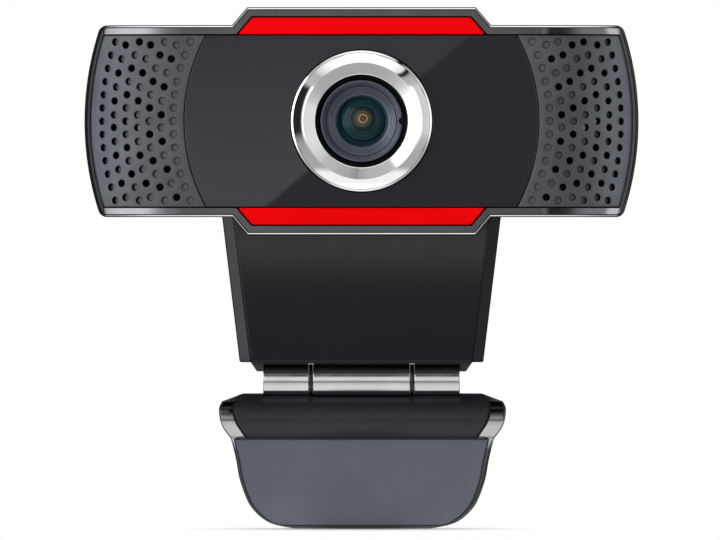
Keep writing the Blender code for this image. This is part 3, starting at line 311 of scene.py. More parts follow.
# The floor, in metres from its middle
FLOOR_SIZE = 1.2
FLOOR_CLEAR = (0.10, 0.45)      # over which it fades out to reflections
CONTACT_CLEAR = (0.0, 0.036)    # over which it fades out to the camera
# Floor glow seen only in reflections: a painted contact shadow under the middle, a lighter ring, dimmer beyond,
# and painted shade behind the object.
FLOOR_CONTACT_SHADOW = (0.004, 0.012, 0.5, 1.2)
FLOOR_TONES = [(0.032, 0.042, 1.0), (0.060, 0.080, 0.43)]
FLOOR_SHADE_BEHIND = (-0.001, 0.010, 1.0, 0.08)


def deep(distance):
    """World Y of a plane that lies this far behind the front of the head's panel."""
    return HEAD_FRONT + distance


def high(distance):
    """World Z of a height above the lens axis."""
    return LENS_HEIGHT + distance


# ---- outlines

def arc(centre, radius, start, end, steps):
    """Points on an arc, both ends included. Angles are in degrees."""
    turns = [radians(start + (end - start) * k / steps) for k in range(steps + 1)]
    return [(centre[0] + radius * cos(turn), centre[1] + radius * sin(turn)) for turn in turns]


def circle(centre, radius, steps):
    return arc(centre, radius, 0.0, 360.0, steps)[:-1]


def soft_corner(before, corner, after, radius, steps):
    """The arc that rounds one corner."""
    corner = Vector(corner)
    to_before = Vector(before) - corner
    to_after = Vector(after) - corner
    half = to_before.angle(to_after) / 2
    if radius <= 0.0 or abs(half - pi / 2) < 0.02:
        return [tuple(corner)]
    run = min(radius / tan(half), to_before.length * 0.49, to_after.length * 0.49)
    radius = run * tan(half)
    middle = corner + (to_before.normalized() + to_after.normalized()).normalized() * (radius / sin(half))
    start = corner + to_before.normalized() * run - middle
    end = corner + to_after.normalized() * run - middle
    first = atan2(start.y, start.x)
    sweep = (atan2(end.y, end.x) - first + pi) % (2 * pi) - pi
    return arc(middle, radius, degrees(first), degrees(first + sweep), steps)


def rounded(points, radius, steps=EDGE_STEPS, closed=True):
    """Round the corners of a chain of flat points. radius is one number, or one for each point."""
    ends = () if closed else (0, len(points) - 1)
    made = []
    for k, corner in enumerate(points):
        if k in ends:
            made.append(tuple(corner))
        else:
            bend = radius[k] if isinstance(radius, list) else radius
            made += soft_corner(points[k - 1], corner, points[(k + 1) % len(points)], bend, steps)
    return made


def smooth_chain(points, steps=6):
    """A smooth curve through a chain of flat points."""
    ends = [points[0]] + list(points) + [points[-1]]
    made = []
    for k in range(1, len(ends) - 2):
        before, start, end, after = (Vector(ends[k + n]) for n in (-1, 0, 1, 2))
        for step in range(steps):
            t = step / steps
            made.append(tuple(0.5 * ((2 * start) + (end - before) * t
                                     + (2 * before - 5 * start + 4 * end - after)
                                     * t ** 2 + (3 * start - before - 3 * end + after) * t ** 3)))
    return made + [tuple(points[-1])]


def offset(outline, distance):
    """Draw a counter-clockwise outline in by a distance, or out if it is negative."""
    made = []
    for k, point in enumerate(outline):
        before = Vector(point) - Vector(outline[k - 1])
        after = Vector(outline[(k + 1) % len(outline)]) - Vector(point)
        first = Vector((-before.y, before.x)).normalized()
        second = Vector((-after.y, after.x)).normalized()
        made.append(tuple(Vector(point) + (first + second) * (distance / (1 + first.dot(second)))))
    return made


def mirrored(right):
    """A right-hand chain and its mirror image, as one chain."""
    return right + [(-x, z) for x, z in reversed(right)]


def turned_left(outline):
    """The same outline, made to run counter-clockwise."""
    area = sum(a[0] * b[1] - b[0] * a[1] for a, b in zip(outline, outline[1:] + outline[:1]))
    return outline if area > 0 else outline[::-1]


def inside(point, outline):
    """Whether a flat point lies within an outline."""
    x, y = point
    within = False
    for (ax, ay), (bx, by) in zip(outline, outline[1:] + outline[:1]):
        if (ay > y) != (by > y) and x < (bx - ax) * (y - ay) / (by - ay) + ax:
            within = not within
    return within


def extent(outline):
    """An outline's left, right, low and top."""
    across, up = zip(*outline)
    return min(across), max(across), min(up), max(up)


# ---- shapes

def upright(across, up, depth):
    """A point of a plate that faces forward."""
    return (across, depth, up)


class Shape:
    """Points in millimetres, and faces that each know which of the piece's materials they take."""

    def __init__(self):
        self.points = []
        self.faces = []
        self.looks = []

    def ring(self, points):
        first = len(self.points)
        self.points += [tuple(point) for point in points]
        return list(range(first, len(self.points)))

    def face(self, ends, look=0):
        self.faces.append(tuple(ends))
        self.looks.append(look)

    def bridge(self, near, far, look=0):
        """Join two closed rings. A ring of one point makes a fan."""
        count = max(len(near), len(far))
        for k in range(count):
            after = (k + 1) % count
            ends = [near[k % len(near)], near[after % len(near)], far[after % len(far)], far[k % len(far)]]
            self.face(dict.fromkeys(ends), look)

    def chain(self, rings, look=0):
        for near, far in zip(rings, rings[1:]):
            self.bridge(near, far, look)

    def fill(self, loops, spare=(), place=None):
        """Close a flat region with triangles. loops pairs flat outlines with their rings, holes
        after the first."""
        flat, rings, edges = [], [], []
        for outline, ring in loops:
            first = len(flat)
            flat += outline
            rings += ring
            edges += [(first + k, first + (k + 1) % len(outline)) for k in range(len(outline))]
        flat += spare
        rings += self.ring([place(*point) for point in spare])
        holes = [(extent(outline), outline) for outline, _ in loops[1:]]
        found = delaunay_2d_cdt([Vector(point) for point in flat], edges, [], 1, 1e-7)
        points, triangles, sources = found[0], found[2], found[3]
        for triangle in triangles:
            middle = sum((points[k] for k in triangle), Vector((0.0, 0.0))) / 3
            if not any(left < middle.x < right and low < middle.y < top and inside(middle, outline)
                       for (left, right, low, top), outline in holes):
                self.face([rings[sources[k][0]] for k in triangle])


def edge_layers(front, back, front_edge, back_edge=0.06, steps=EDGE_STEPS):
    """(inset, depth) pairs that round a plate's front and back edges."""
    turns = [pi / 2 * k / steps for k in range(steps + 1)]
    layers = [(front_edge * (1 - sin(turn)), front + front_edge * (1 - cos(turn))) for turn in turns]
    return layers + [(back_edge * (1 - sin(turn)),
                      back - back_edge * (1 - cos(turn))) for turn in turns[::-1]]


def plate(outline, layers, holes=(), hole_layers=None, place=upright, pits=(), spare=(), hole_look=0):
    """A flat or curved plate with softened edges. Holes go through it, and pits only sink into its front."""
    shape = Shape()

    def rings_round(loop, steps, sign):
        flats = [offset(loop, sign * inset) for inset, _ in steps]
        return flats, [shape.ring([place(a, b, depth) for a, b in flat]) for flat,
                       (_, depth) in zip(flats, steps)]

    front_loops, back_loops = [], []
    for number, loop in enumerate([outline, *holes]):
        flats, rings = rings_round(loop, hole_layers if number and hole_layers else layers,
                                   -1 if number else 1)
        soft = EDGE_STEPS if number and hole_look else len(rings)
        shape.chain(rings[:soft + 1])
        shape.chain(rings[soft:], hole_look)
        front_loops.append((flats[0], rings[0]))
        back_loops.append((flats[-1], rings[-1]))
    for loop, pit_layers in pits:
        flats, rings = rings_round(loop, pit_layers, -1)
        shape.chain(rings[:EDGE_STEPS + 1])
        shape.chain(rings[EDGE_STEPS:-1], hole_look)
        shape.chain(rings[-2:], hole_look + 1)
        middle = [sum(part) / len(flats[-1]) for part in zip(*flats[-1])]
        shape.bridge(rings[-1], shape.ring([place(*middle, pit_layers[-1][1])]), hole_look + 1)
        front_loops.append((flats[0], rings[0]))
    shape.fill(front_loops, list(spare), lambda a, b: place(a, b, layers[0][1]))
    shape.fill(back_loops)
    return shape


def turned(profile, centre=LENS_CENTRE, axis="front", steps=ROUND_STEPS, shape=None):
    """Turn a profile of (radius, height). One that starts on the axis runs to the axis; others are
    closed rings."""
    shape = shape or Shape()
    along = {"front": (0, -1, 0), "back": (0, 1, 0), "right": (1, 0, 0)}[axis]
    rings = []
    for radius, height in profile:
        turns = [0.0] if radius < 1e-6 else [2 * pi * k / steps for k in range(steps)]
        flat = [(radius * cos(turn), radius * sin(turn)) for turn in turns]
        points = [(0.0, a, b) if axis == "right" else (a, 0.0, b) for a, b in flat]
        rings.append(shape.ring([[c + p + height * d for c, p,
                                  d in zip(centre, point, along)] for point in points]))
    shape.chain(rings if profile[0][0] < 1e-6 else rings + rings[:1])
    return shape


def rod(axis, centre, start, end, radius, steps=SMALL_STEPS, soft=0.0, shape=None):
    """A round bar along X ("right") or Y ("back"). centre is where its axis crosses the other two axes."""
    profile = [(0.0, start), (radius, start), (radius, end), (0.0, end)]
    if soft:
        profile = rounded(profile, soft, closed=False)
    middle = (0.0, *centre) if axis == "right" else (centre[0], 0.0, centre[1])
    return turned(profile, middle, axis, steps, shape)


def bars(centres, start, end, radius, shape=None):
    """Round bars along Y, one at each (x, z)."""
    shape = shape or Shape()
    for centre in centres:
        rod("back", centre, start, end, radius, shape=shape)
    return shape


def knuckles(pin, spans):
    """The barrels of a hinge, each from one x to another."""
    shape = Shape()
    for near, far in spans:
        rod("right", pin, near, far, BARREL_OUTER, BARREL_STEPS, BARREL_SOFT, shape)
    return shape


def pin_bore(pin, half):
    return rod("right", pin, -half, half, PIN_BORE)


def both_sides(near, far):
    """The same stretch of x on the left and on the right."""
    return [(-far, -near), (near, far)]


def prism(outline, front, back, shape=None):
    """A flat outline carried straight back."""
    shape = shape or Shape()
    rings = [shape.ring([upright(a, b, depth) for a, b in outline]) for depth in (front, back)]
    shape.chain(rings)
    for ring in rings:
        shape.fill([(outline, ring)])
    return shape


def slab(low, top, soft=0.0, shape=None):
    """A box from its lowest to its highest corner, with its edges along Y softened."""
    outline = [(low[0], low[2]), (top[0], low[2]), (top[0], top[2]), (low[0], top[2])]
    return prism(rounded(outline, soft, 3) if soft else outline, low[1], top[1], shape)


def solid(shape, name, looks=()):
    """Turn a shape into an object in metres, with its faces pointing out and nothing loose."""
    mesh = bpy.data.meshes.new(name)
    mesh.from_pydata([Vector(point) * MM for point in shape.points], [], shape.faces)
    for look in looks:
        mesh.materials.append(look)
    mesh.polygons.foreach_set("material_index", shape.looks)
    work = bmesh.new()
    work.from_mesh(mesh)
    bmesh.ops.remove_doubles(work, verts=work.verts, dist=1e-7)
    bmesh.ops.delete(work, geom=[vertex for vertex in work.verts if not vertex.link_faces], context="VERTS")
    bmesh.ops.recalc_face_normals(work, faces=work.faces)
    work.to_mesh(mesh)
    work.free()
    made = bpy.data.objects.new(name, mesh)
    bpy.context.scene.collection.objects.link(made)
    return made


def carve(piece, shape, operation):
    """Cut a shape out of a piece, or join it on, and keep the result as the piece's own mesh."""
    tool = solid(shape, "tool")
    modifier = piece.modifiers.new("carve", "BOOLEAN")
    modifier.operation = operation
    modifier.solver = "EXACT"
    modifier.object = tool
    bpy.context.view_layer.update()
    result = bpy.data.meshes.new_from_object(piece.evaluated_get(bpy.context.evaluated_depsgraph_get()))
    piece.modifiers.remove(modifier)
    spent = piece.data
    name = spent.name
    piece.data = result
    bpy.data.meshes.remove(spent)
    result.name = name
    bpy.data.objects.remove(tool, do_unlink=True)


BODY_OF = {node: body for body, nodes in frame["record"]["behaviour"]["bodies"].items() for node in nodes}


def make(node, shape, looks, steps=(), sharp=32.0):
    """Build a piece, join and cut further shapes in turn, shade it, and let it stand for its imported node."""
    piece = solid(shape, node + "_detail", looks)
    for step, tool in steps:
        carve(piece, tool, {"join": "UNION", "cut": "DIFFERENCE"}[step])
    piece.data.shade_smooth()
    piece.data.set_sharp_from_angle(angle=radians(sharp))
    weighted = piece.modifiers.new("flat faces", "WEIGHTED_NORMAL")
    weighted.keep_sharp = True
    weighted.weight = 90
    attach(piece, BODY_OF[node])
    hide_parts(node)


# ---- materials

class Nodes:
    """The nodes of one material or world. A value is a number, a tuple, or another node's output."""

    def __init__(self, holder, coordinates="Object"):
        holder.use_nodes = True
        self.tree = holder.node_tree
        self.shader = self.tree.nodes.get("Principled BSDF")
        self.place = self.add("TexCoord", {}, coordinates)

    def put(self, socket, value):
        if isinstance(value, bpy.types.NodeSocket):
            self.tree.links.new(value, socket)
        elif socket.type == "RGBA":
            socket.default_value = (*value, 1.0)
        else:
            socket.default_value = value

    def shade(self, **values):
        """Set the shader's inputs. An underscore in a name stands for a space."""
        for name, value in values.items():
            self.put(self.shader.inputs[name.replace("_", " ")], value)

    def add(self, kind, inputs, output=0, **settings):
        """A node, with its inputs given by name or number. Gives one of its outputs."""
        node = self.tree.nodes.new("ShaderNode" + kind)
        for name, value in settings.items():
            setattr(node, name, value)
        for key, value in inputs.items():
            self.put(node.inputs[key], value)
        return node.outputs[output]

    def maths(self, operation, *values):
        return self.add("Math", dict(enumerate(values)), operation=operation)

    def vector(self, operation, *values, output="Vector"):
        return self.add("VectorMath", dict(enumerate(values)), output, operation=operation)

    def part(self, axis):
        """One coordinate of the place."""
        return self.add("SeparateXYZ", {0: self.place}, axis)

    def span(self, value, start, stop, low=0.0, top=1.0, way="SMOOTHSTEP"):
        """Go from low to top while a value goes from start to stop."""
        return self.add("MapRange", {0: value, 1: start, 2: stop, 3: low, 4: top}, interpolation_type=way)

    def even(self, value, start, stop, low, top):
        return self.span(value, start, stop, low, top, "LINEAR")

    def mix(self, share, low, top):
        """A number part of the way between two others."""
        return self.add("Mix", {0: share, 2: low, 3: top}, data_type="FLOAT")

    def blend(self, share, dark, light):
        """A colour part of the way between two others."""
        return self.add("Mix", {0: share, 6: dark, 7: light}, 2, data_type="RGBA")

    def noise(self, feature, detail=3.0, stretch=(1.0, 1.0, 1.0), place=None):
        """Noise whose features are about this many millimetres across."""
        scale = [1.0 / (MM * feature * part) for part in stretch]
        mapped = self.add("Mapping", {"Vector": place or self.place, "Scale": scale})
        return self.add("TexNoise", {"Vector": mapped, "Scale": 1.0, "Detail": detail}, "Fac")

    def bump(self, height, depth):
        """Raise the surface by a height from 0 to 1, up to this many millimetres."""
        self.shade(Normal=self.add("Bump", {"Strength": 1.0, "Distance": depth * MM, "Height": height}))

    def from_axis(self, centre, scale):
        """A scaled distance from the line that runs forward through a centre."""
        centred = self.vector("SUBTRACT", self.place, [part * MM for part in centre])
        return self.vector("LENGTH", self.vector("MULTIPLY", centred, (scale, 0.0, scale)), output="Value")

    def ramp(self, share, stops):
        """A colour read from (share, colour) stops."""
        node = self.tree.nodes.new("ShaderNodeValToRGB")
        points = node.color_ramp.elements
        for k, (place, colour) in enumerate([stops[0], stops[-1]] + stops[1:-1]):
            point = points[k] if k < 2 else points.new(place)
            point.color = (*colour, 1.0)
        self.put(node.inputs["Fac"], share)
        return node.outputs["Color"]


NOISE_RANGE = (0.3, 0.7)        # where most of a noise's values lie
TOOL_MARK = 0.08


def finish(name, dark, light, roughness, patch=9.0, smudge=4.0, grain=0.1, depth=0.004, metallic=0.0,
           specular=0.5):
    """A moulded, painted or plated surface: two close tones in patches, uneven gloss and a fine grain."""
    look = bpy.data.materials.new(name)
    nodes = Nodes(look)
    tone = nodes.even(nodes.noise(patch), *NOISE_RANGE, 0.0, 1.0)
    gloss = nodes.even(nodes.noise(smudge, 5.0), *NOISE_RANGE, *roughness)
    nodes.shade(Base_Color=nodes.blend(tone, dark, light), Roughness=gloss, Metallic=metallic,
                Specular_IOR_Level=specular)
    nodes.bump(nodes.noise(grain, 2.0), depth)
    return look


def turned_metal(name, dark, light, roughness, metallic, depth=0.003, axis="front", specular=0.5):
    """Metal with fine tool marks that run round an axis through the lens, or round the hinge barrels."""
    look = finish(name, dark, light, roughness, patch=6.0, metallic=metallic, specular=specular)
    nodes = Nodes(look)
    if axis == "front":
        radius = nodes.add("CombineXYZ", {"X": nodes.from_axis(LENS_CENTRE, 1.0)})
        marks = nodes.noise(TOOL_MARK, 2.0, place=radius)
    else:
        marks = nodes.noise(TOOL_MARK, 2.0, (1.0, 60.0, 60.0))
    nodes.bump(marks, depth)
    return look


def graded(look, axis, start, low, stop, top):
    """Multiply a look's colour by a share that goes from low to top between two distances along an axis. Used
    to paint light and shade by position.
    """
    nodes = Nodes(look)
    share = nodes.even(nodes.maths("ABSOLUTE", nodes.part(axis)), start * MM, stop * MM, low, top)
    colour = nodes.shader.inputs["Base Color"].links[0].from_socket
    nodes.shade(Base_Color=nodes.add("VectorMath", {0: colour, "Scale": share}, operation="SCALE"))


FRAME_GREY = finish("frame_grey", (0.090, 0.089, 0.096), (0.100, 0.098, 0.106), (0.05, 0.09), patch=16.0,
                    grain=0.4,
                    depth=0.0002, metallic=1.0)
# Painted reflection: the rails grow up to twice as light towards their ends, for the bright bands the light
# makes there.
graded(FRAME_GREY, "X", 33.0, 1.0, 37.0, 2.0)
# Painted shade: a darker matte grey for the frame's end strips, where the curved ends turn away from the light.
END_SHADE_GREY = finish("end_shade_grey", (0.044, 0.047, 0.047), (0.054, 0.057, 0.057), (0.25, 0.35), grain=0.12,
                  depth=0.002)
# Painted highlight: near-white metal for the frame's chamfer line, for the light it catches.
EDGE_HIGHLIGHT = finish("painted_highlight_edge", (0.72, 0.72, 0.74), (0.82, 0.82, 0.84), (0.14, 0.22), depth=0.001,
                     metallic=1.0)
SHELL_BLACK = finish("shell_black", (0.010, 0.010, 0.011), (0.016, 0.016, 0.018), (0.38, 0.50), grain=0.16,
                     depth=0.010)
PIANO_BLACK = finish("piano_black", (0.0080, 0.0074, 0.0140), (0.0100, 0.0092, 0.0165), (0.001, 0.004),
                     patch=22.0,
                     grain=3.0, depth=0.00001)
ARM_BLACK = finish("arm_black", (0.0062, 0.0062, 0.0100), (0.0080, 0.0080, 0.0125), (0.010, 0.020),
                   patch=18.0,
                   grain=3.0, depth=0.00001, specular=0.25)
LEG_GLOSS = finish("leg_gloss", (0.27, 0.27, 0.28), (0.32, 0.32, 0.33), (0.07, 0.12), patch=12.0, grain=0.4,
                   depth=0.0003, metallic=1.0)
# Painted reflection: the cheeks are dark at the top, light in a band lower down, and dark again below it.
graded(LEG_GLOSS, "Z", 20.9, 0.15, 22.3, 1.4)
graded(LEG_GLOSS, "Z", 25.4, 1.0, 27.0, 0.18)
GRILLE_GREY = finish("grille_grey", (0.048, 0.052, 0.063), (0.063, 0.068, 0.081), (0.36, 0.46), patch=5.0,
                     grain=0.09,
                     specular=0.4)
# Painted light: the grille's outer columns grow up to twice as light towards the ends.
graded(GRILLE_GREY, "X", 38.0, 1.0, 45.5, 2.0)
# Painted light: a lighter copy of the grille grey for dimple floors, to offset the shade that falls in them.
DIMPLE_FLOOR_PAINTED_LIGHT = finish("dimple_floor_painted_light", (0.070, 0.075, 0.088), (0.085, 0.090, 0.104), (0.40, 0.50), patch=5.0,
                      grain=0.09, specular=0.4)
# Painted shade: near black for the walls of holes, dimples, grooves and the frame's opening, where shade falls.
SHADE_BLACK = finish("painted_shade_black", (0.0012, 0.0012, 0.0016), (0.002, 0.002, 0.003), (0.6, 0.8), specular=0.1)
SIGNAL_RED = finish("signal_red", (0.82, 0.0002, 0.0014), (0.88, 0.0004, 0.0022), (0.30, 0.40), patch=12.0,
                    grain=0.15, depth=0.001, specular=0.03)
CHROME = turned_metal("chrome_trim", (0.85, 0.86, 0.87), (0.90, 0.90, 0.91), (0.05, 0.09), 1.0, 0.0006)
HINGE_CHROME = turned_metal("hinge_chrome", (0.48, 0.49, 0.50), (0.54, 0.55, 0.56), (0.10, 0.16), 1.0,
                            0.0010, "across")
STEEL = finish("plain_steel", (0.42, 0.43, 0.44), (0.55, 0.56, 0.57), (0.24, 0.40), patch=1.5, smudge=0.8,
               grain=0.05,
               depth=0.002, metallic=1.0)
DARK_STEEL = finish("dark_steel", (0.030, 0.030, 0.032), (0.045, 0.045, 0.048), (0.24, 0.36), patch=1.5,
                    smudge=0.8,
                    grain=0.05, depth=0.002, metallic=1.0)
PAD_RUBBER = finish("pad_rubber", (0.086, 0.096, 0.116), (0.096, 0.107, 0.129), (0.62, 0.78), patch=7.0,
                    grain=0.14,
                    depth=0.008, specular=0.3)
BLACK_RUBBER = finish("black_rubber", (0.010, 0.010, 0.010), (0.017, 0.017, 0.018), (0.60, 0.80), grain=0.12,
                      depth=0.008, specular=0.3)
ROLL_SATIN = finish("roll_satin", (0.013, 0.013, 0.018), (0.017, 0.017, 0.023), (0.28, 0.34), patch=14.0,
                    grain=0.14,
                    depth=0.003, specular=0.26)
BARREL_BLACK = turned_metal("barrel_black", (0.046, 0.056, 0.078), (0.070, 0.082, 0.112), (0.28, 0.40), 0.6,
                            0.006)
CARRIER_BLACK = turned_metal("carrier_black", (0.002, 0.002, 0.003), (0.004, 0.004, 0.005), (0.4, 0.6), 0.0,
                             0.004,
                             specular=0.15)
COATED_RIM = turned_metal("coated_rim", (0.008, 0.030, 0.036), (0.016, 0.048, 0.055), (0.20, 0.30), 0.4,
                          0.002)
CONE_GREY = turned_metal("cone_grey", (0.080, 0.100, 0.132), (0.112, 0.135, 0.172), (0.30, 0.42), 0.4)
INNER_PLASTIC = finish("inner_plastic", (0.008, 0.008, 0.009), (0.014, 0.014, 0.015), (0.45, 0.60),
                       grain=0.12,
                       depth=0.006)
HEADER_WHITE = finish("header_white", (0.62, 0.60, 0.52), (0.70, 0.68, 0.60), (0.35, 0.50), depth=0.003)
CAPSULE_METAL = finish("capsule_metal", (0.50, 0.51, 0.53), (0.62, 0.63, 0.65), (0.25, 0.38), patch=2.0,
                       grain=0.06,
                       depth=0.003, metallic=1.0)


def board_finish():
    """Green solder mask over copper tracks, with a speckle of small vias."""
    look = finish("board_green", (0.006, 0.060, 0.024), (0.010, 0.085, 0.034), (0.22, 0.34), grain=0.4,
                  depth=0.003)
    nodes = Nodes(look)
    turned_up = nodes.add("Mapping", {"Vector": nodes.place, "Rotation": (pi / 2, 0.0, 0.0)})
    tracks = nodes.add("TexBrick", {"Vector": turned_up, "Scale": 1.0 / (MM * 6.0), "Mortar Size": 0.06},
                       "Fac")
    vias = nodes.add("TexVoronoi", {"Vector": turned_up, "Scale": 1.0 / (MM * 3.0)}, "Distance")
    colour = nodes.blend(tracks, (0.007, 0.068, 0.027), (0.020, 0.150, 0.060))
    nodes.shade(Base_Color=nodes.blend(nodes.even(vias, 0.10, 0.12, 1.0, 0.0), colour, (0.60, 0.52, 0.30)))
    return look


def glass_with_painted_rings(name, bands):
    """Dark glass, with coloured rings painted at set shares of the radius: painted reflections of its coatings
    and of the elements behind."""
    look = bpy.data.materials.new(name)
    nodes = Nodes(look)
    centre = [middle + lean for middle, lean in zip(LENS_CENTRE, REFLECTION_LEAN)]
    rings = nodes.ramp(nodes.from_axis(centre, 1.0 / (MM * ELEMENT_RADIUS)), bands)
    cloud = nodes.even(nodes.noise(1.2), *NOISE_RANGE, 0.0, 0.15)
    nodes.shade(IOR=1.5, Specular_IOR_Level=0.12, Base_Color=nodes.blend(cloud, rings,
                                                                         (0.020, 0.055, 0.060)),
                Roughness=nodes.even(nodes.noise(0.8), *NOISE_RANGE, 0.02, 0.05))
    return look


TEAL = (0.012, 0.036, 0.056)
DEEP = (0.002, 0.005, 0.008)
PUPIL_GLINT = (0.50, 0.32, 0.16)
# Painted reflections: a gold glint round the pupil, then teal and dark rings out to the rim.
LENS_GLASS = glass_with_painted_rings("lens_glass", [(0.0, (0.20, 0.13, 0.07)), (0.05, (0.07, 0.035, 0.030)),
                                         (0.13, (0.09, 0.05, 0.04)), (0.17, PUPIL_GLINT),
                                         (0.21, (0.05, 0.04, 0.025)),
                                         (0.29, (0.10, 0.075, 0.04)), (0.36, (0.018, 0.030, 0.032)),
                                         (0.50, DEEP),
                                         (0.55, (0.014, 0.055, 0.062)), (0.58, (0.006, 0.026, 0.034)),
                                         (0.76, (0.010, 0.044, 0.054)), (0.79, DEEP),
                                         (0.83, (0.016, 0.060, 0.066)),
                                         (0.88, (0.008, 0.034, 0.042)), (0.93, DEEP), (1.0, TEAL)])
FILTER_GLASS = glass_with_painted_rings("filter_glass", [(0.0, (0.12, 0.02, 0.03)), (0.5, (0.18, 0.05, 0.06)),
                                             (1.0, (0.04, 0.02, 0.05))])


# ---- head: frame and shell

def curved_back(x, flat, radius):
    """How far a surface has curved back at x, when it is flat as far as flat and then follows a circle."""
    beyond = max(abs(x) - flat, 0.0)
    return radius - sqrt(radius ** 2 - beyond ** 2)


def front_y(x):
    return deep(curved_back(x, FLAT_X, FRONT_CURVE))


def seam_y(x):
    return deep(FRAME_DEPTH + curved_back(x, FLAT_X, FRAME_CURVE))


def back_y(x):
    return deep(BACK_DEPTH - curved_back(x, BACK_FLAT_X, BACK_CURVE))


def head_outline(end_inset=0.0, top_inset=0.0, corner=CORNER_RADIUS, bump_height=BUMP_HEIGHT):
    """The head seen from the front, from the middle of its right-hand end, over the top and back
    underneath."""
    bow = END_RADIUS - end_inset
    top = WING_TOP - top_inset
    corner_z = top - corner
    corner_x = END_CENTRE_X + sqrt((bow - corner) ** 2 - corner_z ** 2)
    sweep = degrees(atan2(corner_z, corner_x - END_CENTRE_X))
    foot = (BUMP_FOOT_X - top_inset * BUMP_SHIFT, top)
    tip = (foot[0] - bump_height * BUMP_RUN / BUMP_HEIGHT, top + bump_height)
    right = arc((END_CENTRE_X, 0.0), bow, 0.0, sweep, END_STEPS)[:-1]
    right += arc((corner_x, corner_z), corner, sweep, 90.0, CORNER_STEPS)
    last = foot[0] + 1.0
    right += [(corner_x + (last - corner_x) * k / WING_STEPS, top) for k in range(1, WING_STEPS + 1)]
    right += soft_corner(right[-1], foot, tip, BUMP_SOFT, BUMP_STEPS)
    right += soft_corner(foot, tip, (-tip[0], tip[1]), BUMP_SOFT, BUMP_STEPS)
    over = mirrored(right)
    return over + [(x, -z) for x, z in reversed(over[1:-1])]


def head_ring(shape, outline, depth):
    return shape.ring([(x, depth(x), high(z)) for x, z in outline])


def front_frame():
    """Rails above and below and a thin strip at each end, edged by a painted highlight line between two fine
    painted shade lines."""
    shape = Shape()
    face = RAIL_FACE
    edge = [(0.0, 0.10), (RAIL_EDGE, face + 0.20), (RAIL_LINE, face + 0.04), (RAIL_LINE + 0.02, face + 0.22),
            (RAIL_GROOVE - 0.02, face + 0.22), (RAIL_GROOVE, face + 0.02), (RAIL_GROOVE + 0.02, face)]
    opening = [(-OPENING_SOFT, face), (0.0, face + OPENING_SOFT), (0.0, LEDGE_DEPTH)]
    steps = [(inset, inset, depth) for inset, depth in edge]
    steps += [(OPENING_END + inset, OPENING_TOP + inset, depth) for inset, depth in opening]
    rings = [head_ring(shape, head_outline(), seam_y), head_ring(shape, head_outline(),
                                                                 lambda x: front_y(x) + 0.3)]
    for end_inset, top_inset, depth in steps:
        corner = CORNER_RADIUS - top_inset if top_inset < OPENING_TOP / 2 else OPENING_CORNER
        rings.append(head_ring(shape, head_outline(end_inset, top_inset, corner),
                               lambda x: front_y(x) + depth))
    ledge = head_outline(OPENING_END + LEDGE_WIDTH, OPENING_TOP + LEDGE_WIDTH, OPENING_CORNER)
    rings.append(head_ring(shape, ledge, lambda x: front_y(x) + LEDGE_DEPTH))
    rings.append(head_ring(shape, ledge, seam_y))
    # Bright faces take the painted highlight. Dark faces (outer chamfer, groove, opening wall and ledge) take
    # painted shade black.
    plain, bright, dark, end = range(4)
    looks = [plain, dark, dark, bright, dark, dark, dark, dark, plain, dark, dark, dark, dark, plain]
    for near, far, look in zip(rings, rings[1:] + rings[:1], looks):
        shape.bridge(near, far, look)
    # Upright plain faces past the end strip's start take the darker grey, as painted shade.
    for k, face in enumerate(shape.faces):
        start, stop = (shape.points[point] for point in face[:2])
        upward = abs(start[2] - stop[2]) > abs(start[0] - stop[0])
        if shape.looks[k] == plain and abs(start[0]) > END_STRIP_X and upward:
            shape.looks[k] = end
    make("front_frame", shape, [FRAME_GREY, EDGE_HIGHLIGHT, SHADE_BLACK, END_SHADE_GREY], sharp=25.0)


def shell_ring(shape, fraction, inset, bump_height, wall):
    """One ring of the rear shell. Fraction is 0 at the seam with the frame and 1 at the back."""
    outline = head_outline(inset + wall, inset + wall, CORNER_RADIUS, bump_height)
    return head_ring(shape, outline,
                     lambda x: seam_y(x) + GAP + fraction * (back_y(x) - wall - seam_y(x) - GAP))


def shell_side(shape, wall):
    """One face of the shell, from the seam to the back, where the edge rounds over and the raised
    centre sinks."""
    rings = [shell_ring(shape, 0.0, 0.06, BUMP_HEIGHT, wall),
             shell_ring(shape, 0.006, 0.0, BUMP_HEIGHT, wall)]
    for k in range(SHELL_EDGE_STEPS + 1):
        turn = pi / 2 * k / SHELL_EDGE_STEPS
        fraction = SHELL_STRAIGHT + (1 - SHELL_STRAIGHT) * sin(turn)
        inset = SHELL_DRAFT + SHELL_EDGE * (1 - cos(turn))
        bump_height = BUMP_AT_BACK + (BUMP_AT_EDGE - BUMP_AT_BACK) * cos(turn)
        rings.append(shell_ring(shape, fraction, inset, bump_height, wall))
    shape.chain(rings)
    reach = SHELL_DRAFT + SHELL_EDGE + wall
    outline = head_outline(reach, reach, CORNER_RADIUS, BUMP_AT_BACK)
    spare = [(float(x), float(z)) for x in range(-40, 41, 2) for z in range(-10, 11, 2)]
    shape.fill([(outline, rings[-1])], spare, lambda x, z: (x, back_y(x) - wall, high(z)))
    return rings[0]


def rear_shell():
    """The hollow back of the head, with screw posts and a hole for the cord."""
    shape = Shape()
    shape.bridge(shell_side(shape, 0.0), shell_side(shape, SHELL_WALL))
    back = deep(BACK_DEPTH)
    posts = bars(SHELL_SCREWS, deep(7.0 + GAP), back - 1.2, 2.5)
    bores = bars(SHELL_SCREWS, back - SHELL_SCREW_SINK - GAP, back + OVERRUN, HEAD_BORE)
    bars([(0.0, high(GLAND_RISE))], back - 2 * SHELL_WALL, back + OVERRUN, GLAND_NECK + GAP, bores)
    make("rear_shell", shape, [SHELL_BLACK], [("join", posts), ("cut", bores)], sharp=40.0)


# ---- head: panel, grilles and accents

